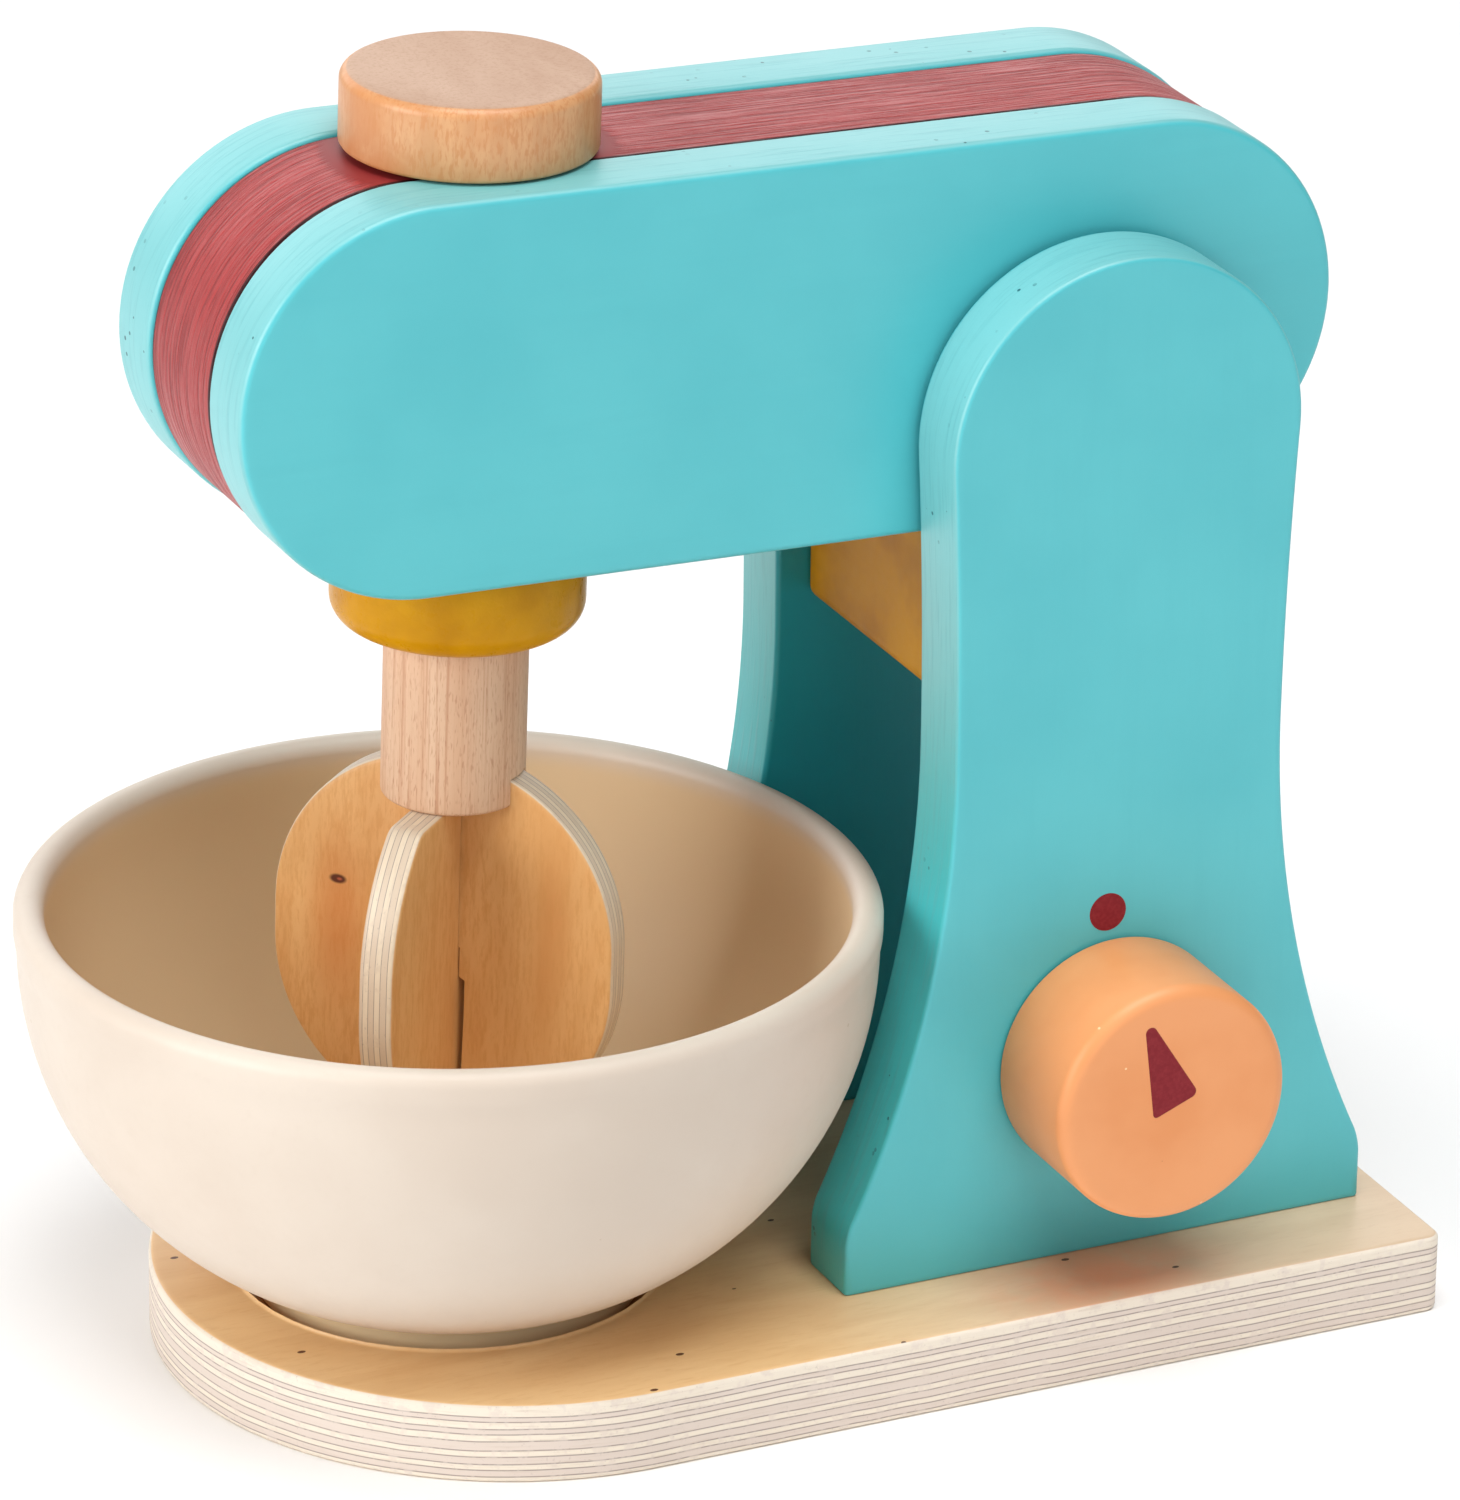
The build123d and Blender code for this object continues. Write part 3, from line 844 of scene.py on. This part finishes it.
def washer_finish():
    """Pale moulded washer with a fine matte grain."""
    material, tree, shader = new_finish("washer plastic", 0.55)
    place = surface_place(tree)
    grain = cloud(place, 1200.0, 2.0)
    colour_shader(shader, blend(reach(grain, 0.3, 0.8), washer_tone, washer_dark))
    relief(shader, ((grain, 0.1, 0.00005),))
    return material


# Base board
def screw_places():
    low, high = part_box("base_screws")
    for x in (low.x + screw_half, high.x - screw_half):
        for y in (low.y + screw_half, high.y - screw_half):
            yield (x, y, 0)


def make_base(finish):
    bm = bmesh.new()
    half_width = board_high.y
    front = board_low.x + half_width
    rear = board_high.x - board_corner
    side = half_width - board_corner
    first = bm.verts.new((front, half_width, 0))
    end = arc(bm, first, (front, 0, 0), 180, round_steps, up_axis)
    end = run(bm, end, (rear, -half_width, 0))
    end = arc(bm, end, (rear, -side, 0), 90, board_corner_steps, up_axis)
    end = run(bm, end, (board_high.x, side, 0))
    end = arc(bm, end, (rear, side, 0), 90, board_corner_steps, up_axis)
    thicken(bm, [close_outline(bm, end, first)], (0, 0, board_high.z))
    soften(bm, rim_edges(bm, 2, 0) + rim_edges(bm, 2, board_high.z), board_edge, board_edge_steps)
    top = ring_face(bm, 2, board_high.z)
    underside = ring_face(bm, 2, 0)
    middle = Vector((bowl_foot.x, 0, board_high.z))
    sink(bm, top, [(middle, recess_radius, recess_depth, True)])
    sink(bm, underside, [(place, screw_mouth_radius, screw_mouth_depth, True) for place in screw_places()])
    mouth = [edge for edge in rim_edges(bm, 2, board_high.z)
             if all(abs((vert.co - middle).length - recess_radius) < flat_ring for vert in edge.verts)]
    soften(bm, mouth, recess_edge, fine_steps)
    piece("ply_base", bm, "stand", finish, ["base_board"])


# Uprights
def upright_face(bm, y):
    """The upright's side view: foot, flare, waist and round crown, in one level."""
    flare_fall = waist_z - foot_top
    flare_run = foot_half - waist_half
    flare_radius = (flare_run ** 2 + flare_fall ** 2) / (2 * flare_run)
    flare_turn = math.degrees(math.asin(flare_fall / flare_radius))
    crown_rise = crown_z - waist_z
    side_radius = (waist_half ** 2 + crown_rise ** 2 - crown_radius ** 2) / (2 * (crown_radius - waist_half))
    side_turn = math.degrees(math.atan2(crown_rise, waist_half + side_radius))
    first = bm.verts.new((upright_x - foot_half, y, board_high.z))
    end = run(bm, first, (upright_x + foot_half, y, board_high.z))
    end = run(bm, end, (upright_x + foot_half, y, foot_top))
    end = arc(bm, end, (upright_x + waist_half + flare_radius, y, waist_z), -flare_turn, flare_steps)
    end = arc(bm, end, (upright_x + waist_half + side_radius, y, waist_z), -side_turn, flank_steps)
    end = arc(bm, end, (upright_x, y, crown_z), 180 + 2 * side_turn, crown_steps)
    end = arc(bm, end, (upright_x - waist_half - side_radius, y, waist_z), -side_turn, flank_steps)
    end = arc(bm, end, (upright_x - waist_half - flare_radius, y, waist_z), -flare_turn, flare_steps)
    return close_outline(bm, end, first)


def block_dowel_holes(y, depth):
    """Holes for the stop block's two dowels in one level across the width."""
    places = (block_middle.x - block_dowel_half_spread, block_middle.x + block_dowel_half_spread)
    return [((x, y, block_middle.z), block_dowel_radius, depth, True) for x in places]


def make_upright(name, node_name, side, finish):
    """One upright, with side -1 where the dial is."""
    bm = bmesh.new()
    inner = side * upright_low.y
    outer = side * upright_high.y
    thicken(bm, [upright_face(bm, inner)], (0, outer - inner, 0))
    soften(bm, rim_edges(bm, 2, foot_top), foot_round, broad_steps)
    rims = rim_edges(bm, 1, inner) + rim_edges(bm, 1, outer)
    floor = board_high.z + near
    rims = [edge for edge in rims if any(vert.co.z > floor for vert in edge.verts)]
    soften(bm, rims, upright_edge, soft_steps)
    soften(bm, rim_edges(bm, 2, board_high.z), foot_edge, foot_edge_steps)
    inner_face = ring_face(bm, 1, inner)
    outer_face = ring_face(bm, 1, outer)
    holes = [((pivot.x, inner, pivot.z), pivot_socket_radius, pivot_socket_depth, True)]
    holes += block_dowel_holes(inner, block_dowel_in_upright)
    if side < 0:
        half = abs(outer - inner) / 2
        holes.append(((dial_center.x, inner, dial_center.z), dial_bore_radius, half, False))
        sink(bm, outer_face, [((dial_center.x, outer, dial_center.z), dial_bore_radius, half, False)])
    sink(bm, inner_face, holes)
    piece(name, bm, "stand", finish, [node_name])


# Stop block
def make_block(finish):
    bm = bmesh.new()
    seat = Matrix.Translation(block_middle) @ Matrix.Diagonal((*(block_high - block_low), 1.0))
    bmesh.ops.create_cube(bm, size=1.0, matrix=seat)
    soften(bm, bm.edges[:], block_edge, soft_steps)
    for axis in range(3):
        for level in (block_low[axis], block_high[axis]):
            face = ring_face(bm, axis, level)
            if axis == 1:
                sink(bm, face, block_dowel_holes(level, block_dowel_in_block))
    piece("mustard_block", bm, "stand", finish, ["stop_block"])


# Head plates and core
def head_layer(inset, inner, outer, edge, steps):
    """One round-ended layer of the head, level about its pivot, between two places across the width."""
    bm = bmesh.new()
    radius = head_radius - inset
    first = bm.verts.new((head_front, inner, radius))
    end = arc(bm, first, (head_front, inner, 0), 180, round_steps // 2)
    end = run(bm, end, (0, inner, -radius))
    end = arc(bm, end, (0, inner, 0), 180, round_steps // 2)
    thicken(bm, [close_outline(bm, end, first)], (0, outer - inner, 0))
    soften(bm, rim_edges(bm, 1, inner) + rim_edges(bm, 1, outer), edge, steps)
    faces = [ring_face(bm, 1, level) for level in (inner, outer)]
    return bm, faces


def make_plate(name, node_name, side, finish):
    """One head plate, with side -1 where the dial is."""
    low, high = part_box("plain_side_plate")
    inner, outer = side * low.y, side * high.y
    bm, (inner_face, outer_face) = head_layer(0, inner, outer, plate_edge, soft_steps)
    half = abs(outer - inner) / 2
    holes = [((x, inner, 0), head_dowel_radius, head_dowel_in_plate, True) for x in head_dowel_places]
    sink(bm, inner_face, holes + [((0, inner, 0), pivot_bore_radius, half, False)])
    sink(bm, outer_face, [((0, outer, 0), pivot_bore_radius, half, False)])
    piece(name, bm, "head", finish, [node_name], head_seat)


def make_core(finish):
    bm, faces = head_layer(core_inset, -core_side, core_side, core_edge, fine_steps)
    for face, y in zip(faces, (-core_side, core_side)):
        holes = [((x, y, 0), head_dowel_radius, core_side, False) for x in head_dowel_places]
        sink(bm, face, holes + [((0, y, 0), pivot_bore_radius, core_side, False)])
    radius = head_radius - core_inset
    for level in (radius, -radius):
        place = (spindle_from_pivot, 0, level)
        sink(bm, flat_face(bm, 2, level), [(place, spindle_bore_radius, radius, False)])
    piece("red_core", bm, "head", finish, ["head_core"], head_seat)


# Spindle pieces
def turned(bottom, top):
    """A turned cylinder between two heights on its own axis."""
    bm = bmesh.new()
    bmesh.ops.create_cone(
        bm, cap_ends=True, segments=round_steps, radius1=turned_radius, radius2=turned_radius,
        depth=top - bottom, matrix=Matrix.Translation((0, 0, (bottom + top) / 2)))
    return bm


def make_knob(finish):
    bm = turned(knob_bottom, knob_top)
    soften(bm, rim_edges(bm, 2, knob_top), knob_top_round, broad_steps)
    soften(bm, rim_edges(bm, 2, knob_bottom), knob_bottom_round, fine_steps)
    ring_face(bm, 2, knob_top)
    base = ring_face(bm, 2, knob_bottom)
    sink(bm, base, [((0, 0, knob_bottom), shaft_socket_radius, knob_socket_depth, True)])
    piece("turned_knob", bm, "beater", finish, ["top_knob"], spindle_seat)


def make_collar(finish):
    bm = turned(collar_bottom, collar_top)
    soften(bm, rim_edges(bm, 2, collar_bottom), collar_bottom_round, collar_steps)
    soften(bm, rim_edges(bm, 2, collar_top), collar_top_round, fine_steps)
    half = (collar_top - collar_bottom) / 2
    for level in (collar_bottom, collar_top):
        face = ring_face(bm, 2, level)
        sink(bm, face, [((0, 0, level), shaft_socket_radius, half, False)])
    piece("mustard_collar", bm, "beater", finish, ["collar"], spindle_seat)


def make_dowel(finish):
    """The dowel grows up, and its two prongs down, from the level of the slot's floor."""
    bm = bmesh.new()
    slot_floor = dowel_bottom + slot_depth
    start = Matrix.Translation((0, 0, slot_floor))
    bmesh.ops.create_circle(bm, cap_ends=True, segments=round_steps, radius=dowel_radius, matrix=start)
    wall = bmesh.ops.extrude_edge_only(bm, edges=open_edges(bm.edges))["geom"]
    bmesh.ops.translate(bm, verts=verts_of(wall), vec=(0, 0, collar_bottom - slot_floor))
    bmesh.ops.contextual_create(bm, geom=open_edges(wall))
    bmesh.ops.recalc_face_normals(bm, faces=bm.faces)
    socket = [((0, 0, collar_bottom), shaft_socket_radius, dowel_socket_depth, True)]
    sink(bm, flat_face(bm, 2, collar_bottom), socket)

    def floor_faces():
        return [face for face in bm.faces
                if all(abs(vert.co.z - slot_floor) < merge_distance for vert in face.verts)]

    across = Vector((0, 1, 0))
    for level in (-slot_half_width, slot_half_width):
        floor = floor_faces()
        parts = floor + once(edge for face in floor for edge in face.edges)
        parts += once(vert for face in floor for vert in face.verts)
        bmesh.ops.bisect_plane(bm, geom=parts, plane_co=across * level, plane_no=across)
    prongs = [face for face in floor_faces() if abs(face.calc_center_median().y) > slot_half_width]
    thicken(bm, prongs, (0, 0, -slot_depth))
    outer = [edge for edge in rim_edges(bm, 2, dowel_bottom)
             if all(vert.co.xy.length > dowel_radius - near for vert in edge.verts)]
    soften(bm, outer, dowel_edge, fine_steps)
    piece("slotted_dowel", bm, "beater", finish, ["beater_dowel"], slot_seat)


def make_disc(name, node_name, seat, slot_side, top, finish):
    """An oval with a flat top, slotted to its middle from above (1) or below (-1) for the half lap."""
    bm = bmesh.new()
    y = -disc_half_thickness
    spread = disc_half_height - disc_half_width
    low, high = (0, y, -spread), (0, y, spread)
    corner_z = top - disc_corner
    corner_x = math.sqrt((disc_half_width - disc_corner) ** 2 - (corner_z - spread) ** 2)
    shoulder = math.degrees(math.atan2(corner_z - spread, corner_x))
    lap = disc_lap_half

    def right_side_up(end):
        end = run(bm, end, (disc_half_width, y, spread))
        end = arc(bm, end, high, shoulder, disc_shoulder_steps)
        return arc(bm, end, (corner_x, y, corner_z), 90 - shoulder, disc_corner_steps)

    def left_side_down(end):
        end = arc(bm, end, (-corner_x, y, corner_z), 90 - shoulder, disc_corner_steps)
        end = arc(bm, end, high, shoulder, disc_shoulder_steps)
        return run(bm, end, (-disc_half_width, y, -spread))

    if slot_side < 0:
        wide = lap + lap_gap_at_rim
        right_turn, left_turn = (90 - math.degrees(math.asin(x / disc_half_width)) for x in (wide, lap))
        first = bm.verts.new((wide, y, -spread - math.sqrt(disc_half_width ** 2 - wide ** 2)))
        end = arc(bm, first, low, right_turn, disc_end_steps // 2)
        end = run(bm, right_side_up(end), (-corner_x, y, top))
        end = arc(bm, left_side_down(end), low, left_turn, disc_end_steps // 2)
        end = run(bm, end, (-lap, y, 0))
        end = run(bm, end, (lap, y, 0))
        end = run(bm, end, (lap, y, lap_gap_start))
        end = run(bm, end, (lap + lap_gap_widest, y, lap_gap_start - lap_gap_step))
        end = run(bm, end, (lap + lap_gap_widest, y, lap_gap_start - lap_gap_belly))
    else:
        first = bm.verts.new((-lap, y, top))
        end = left_side_down(run(bm, first, (-corner_x, y, top)))
        end = right_side_up(arc(bm, end, low, 180, disc_end_steps))
        end = run(bm, end, (lap, y, top))
        end = run(bm, end, (lap, y, 0))
        end = run(bm, end, (-lap, y, 0))
    thicken(bm, [close_outline(bm, end, first)], (0, 2 * disc_half_thickness, 0))
    inside_slot = lap + lap_gap_widest + near
    rims = [edge for edge in rim_edges(bm, 1, y) + rim_edges(bm, 1, -y)
            if any(abs(vert.co.x) > inside_slot for vert in edge.verts)]
    soften(bm, rims, disc_edge, fine_steps)
    for level in (y, -y):
        ring_face(bm, 1, level)
    piece(name, bm, "beater", finish, [node_name], seat)


# Dial and prints
def make_dial(finish):
    front = dial_gap + dial_depth - print_proud
    bm = turned(dial_gap, front)
    soften(bm, rim_edges(bm, 2, front), dial_front_round, broad_steps)
    soften(bm, rim_edges(bm, 2, dial_gap), dial_back_round, fine_steps)
    ring_face(bm, 2, front)
    back = ring_face(bm, 2, dial_gap)
    sink(bm, back, [((0, 0, dial_gap), dial_socket_radius, dial_socket_depth, True)])
    seat = Matrix.Translation(dial_center) @ facing_dial_side
    piece("orange_dial", bm, "dial", finish, ["dial_knob"], seat)


def make_pointer(finish):
    """The printed pointer: rings for its three round corners, with their hull filled in."""
    bm = bmesh.new()
    back = dial_gap + dial_depth - print_proud
    for x, z, radius in pointer_corners:
        for depth in (back, back + print_proud):
            seat = Matrix.Translation((x, -depth, z)) @ facing_dial_side
            bmesh.ops.create_circle(bm, segments=pointer_steps, radius=radius, matrix=seat)
    hull = bmesh.ops.convex_hull(bm, input=bm.verts[:])
    bmesh.ops.delete(bm, geom=once(hull["geom_interior"] + hull["geom_unused"]), context="VERTS")
    bmesh.ops.dissolve_limit(bm, angle_limit=flat_angle, verts=bm.verts[:], edges=bm.edges[:])
    piece("pointer_print", bm, "dial", finish, (), Matrix.Translation(dial_center))


def make_dot(finish):
    """The printed dot above the dial."""
    bm = bmesh.new()
    seat = Matrix.Translation((dot_x, dial_center.y, dot_z)) @ facing_dial_side
    bmesh.ops.create_circle(bm, cap_ends=True, segments=dot_steps, radius=dot_radius, matrix=seat)
    thicken(bm, bm.faces[:], (0, -print_proud, 0))
    piece("dot_print", bm, "stand", finish)


# Bowl
def make_bowl(finish):
    """Half a section, drawn from the floor's middle over the lip to the underside's middle, then spun."""
    bm = bmesh.new()
    body = bowl_radius - bowl_band_step
    inner = body - bowl_wall
    shoulder = bowl_height - bowl_band
    hollow = bowl_foot_radius - bowl_foot_wall
    lip_half = (bowl_radius - inner) / 2
    lip_z = bowl_height - lip_half

    def wall_arc(start_radius, foot_radius, foot_z):
        drop = shoulder - foot_z
        across = start_radius - foot_radius
        radius = (across ** 2 + drop ** 2) / (2 * across)
        return start_radius - radius, math.degrees(math.atan2(drop, radius - across))

    inside_center, inside_turn = wall_arc(inner, bowl_floor_radius, bowl_floor)
    outside_center, outside_turn = wall_arc(body, bowl_foot_radius, bowl_foot_height)
    end = bm.verts.new((0, 0, bowl_floor))
    end = run(bm, end, (bowl_floor_radius, 0, bowl_floor))
    end = arc(bm, end, (inside_center, 0, shoulder), inside_turn, bowl_wall_steps)
    end = run(bm, end, (inner, 0, lip_z))
    end = arc(bm, end, (inner + lip_half, 0, lip_z), -180, bowl_lip_steps)
    end = run(bm, end, (bowl_radius, 0, shoulder + bowl_band_slope))
    end = run(bm, end, (body, 0, shoulder))
    end = arc(bm, end, (outside_center, 0, shoulder), -outside_turn, bowl_wall_steps)
    end = run(bm, end, (bowl_foot_radius, 0, 0))
    end = run(bm, end, (hollow, 0, 0))
    end = run(bm, end, (hollow, 0, bowl_foot_hollow))
    run(bm, end, (0, 0, bowl_foot_hollow))
    bmesh.ops.spin(
        bm, geom=bm.verts[:] + bm.edges[:], cent=(0, 0, 0), axis=up_axis, angle=math.radians(360),
        steps=bowl_steps, use_merge=True)
    mend(bm)

    def ring(radius, height):
        return [edge for edge in rim_edges(bm, 2, height)
                if all(abs(vert.co.xy.length - radius) < near for vert in edge.verts)]

    soften(bm, ring(bowl_floor_radius, bowl_floor), bowl_floor_soften, fine_steps)
    soften(bm, ring(bowl_foot_radius, bowl_foot_height), bowl_crease_soften, crease_steps)
    soften(bm, ring(bowl_radius, shoulder + bowl_band_slope), bowl_band_soften, crease_steps)
    soften(bm, ring(bowl_foot_radius, 0) + ring(hollow, 0), bowl_foot_soften, fine_steps)
    piece("bowl_shell", bm, "bowl", finish, ["bowl"], bowl_seat)


# Assembly
grain_up = (260.0, 260.0, 22.0)
grain_along = (22.0, 260.0, 260.0)
upright_teal = teal_finish("teal paint on uprights", grain_up, upright_low.y)
plate_teal = teal_finish("teal paint on head", grain_along)
ink = print_finish()
steel = steel_finish()
raw_dowel = dowel_finish("raw dowel wood", None)
washer = washer_finish()

make_base(base_finish())
make_upright("upright_with_dial", "dial_side_upright", -1, upright_teal)
make_upright("upright_plain", "plain_side_upright", 1, upright_teal)
make_block(mustard_finish("mustard paint on block", 0.42, (200.0, 18.0, 200.0), 0.15))
make_plate("head_plate_dial_side", "dial_side_plate", -1, plate_teal)
make_plate("head_plate_plain_side", "plain_side_plate", 1, plate_teal)
make_core(red_finish())
make_knob(knob_finish())
make_collar(mustard_finish("mustard paint on collar", 0.28, (120.0, 120.0, 120.0), 0.5))
make_dowel(dowel_finish("beater dowel wood", spindle_seat))
under_dowel = disc_drop - disc_glue_gap
disc_seat = slot_seat @ Matrix.Translation((0, 0, disc_center))
crossed_seat = disc_seat @ Matrix.Rotation(math.radians(90), 4, "Z")
first_ply = disc_finish("ply disc with knot", disc_seat, knot_place)
second_ply = disc_finish("ply disc", crossed_seat, None)
make_disc("disc_slotted_below", "first_beater_disc", disc_seat, -1, under_dowel + slot_depth, first_ply)
make_disc("disc_slotted_above", "second_beater_disc", crossed_seat, 1, under_dowel, second_ply)
make_dial(orange_finish())
make_pointer(ink)
make_dot(ink)
make_bowl(cream_finish())

kept_finishes = {
    "base_screws": steel, "dial_screw": steel, "dial_retainer": steel, "pivot_washers": washer,
    "block_dowels": raw_dowel, "pivot_dowel": raw_dowel, "head_dowels": raw_dowel, "drive_shaft": raw_dowel,
    "dial_axle": raw_dowel,
}
for name, finish in kept_finishes.items():
    shown = frame["nodes"][name]
    shown.data.materials.clear()
    shown.data.materials.append(finish)


# Stage, light and camera
floor_radius = 6.0
floor_steps = 96
camera_azimuth = math.radians(-25.3)
camera_tilt = math.radians(90 - 23.03)
camera_roll = math.radians(0.8)
camera_target = (-0.00306, 0, 0.10421)
camera_distance = 1.628
camera_sensor = 36.0
camera_lens = 219.07


def make_floor():
    bm = bmesh.new()
    bmesh.ops.create_circle(bm, cap_ends=True, segments=floor_steps, radius=floor_radius)
    mesh = bpy.data.meshes.new("floor")
    bm.to_mesh(mesh)
    bm.free()
    material, _, shader = new_finish("pale floor", 0.7)
    shader.inputs["Base Color"].default_value = floor_white
    mesh.materials.append(material)
    floor = in_scene("floor", mesh)


def softbox(name, place, target, width, height, brightness):
    """A soft light with a face of even brightness, turned to a target."""
    light = bpy.data.lights.new(name, "AREA")
    light.shape = "RECTANGLE"
    light.size = width
    light.size_y = height
    light.energy = brightness * math.pi * width * height
    lamp = in_scene(name, light)
    lamp.location = place
    lamp.rotation_euler = (Vector(target) - Vector(place)).to_track_quat("-Z", "Y").to_euler()
    lamp.visible_camera = False


def make_camera():
    """The photo's long lens: turned to the bowl end, looking down, with a slight roll."""
    view = bpy.data.cameras.new("photo_camera")
    view.sensor_width = camera_sensor
    view.lens = camera_lens
    camera = in_scene("photo_camera", view)
    turn = Matrix.Rotation(camera_azimuth, 4, "Z") @ Matrix.Rotation(camera_tilt, 4, "X")
    turn = Matrix.Translation(camera_target) @ turn @ Matrix.Rotation(camera_roll, 4, "Z")
    camera.matrix_world = turn @ Matrix.Translation((0, 0, camera_distance))
    bpy.context.scene.camera = camera


def make_world(strength):
    world = bpy.data.worlds.new("white studio")
    world.use_nodes = True
    backdrop = world.node_tree.nodes["Background"]
    backdrop.inputs["Color"].default_value = (1.0, 1.0, 1.0, 1.0)
    backdrop.inputs["Strength"].default_value = strength
    bpy.context.scene.world = world


make_floor()
make_world(0.09)
softbox("left side", (-1.5, -0.22, 0.62), (0, 0, 0.12), 0.9, 0.9, 6.1)
softbox("overhead", (0.0, -0.5, 2.2), (0, 0, 0.1), 1.6, 1.6, 5.2)
softbox("front top", (0.1, -1.6, 1.15), (0, 0, 0.1), 1.2, 0.8, 1.6)
softbox("front low", (-0.2, -1.8, 0.4), (0, 0, 0.08), 1.4, 0.6, 1.0)
softbox("back", (0.4, 1.8, 0.9), (0, 0, 0.12), 3.0, 1.2, 1.8)
softbox("back left", (-1.5, 1.4, 0.5), (0, 0, 0.12), 1.8, 1.0, 0.5)
make_camera()
bpy.context.scene.view_settings.view_transform = "Standard"
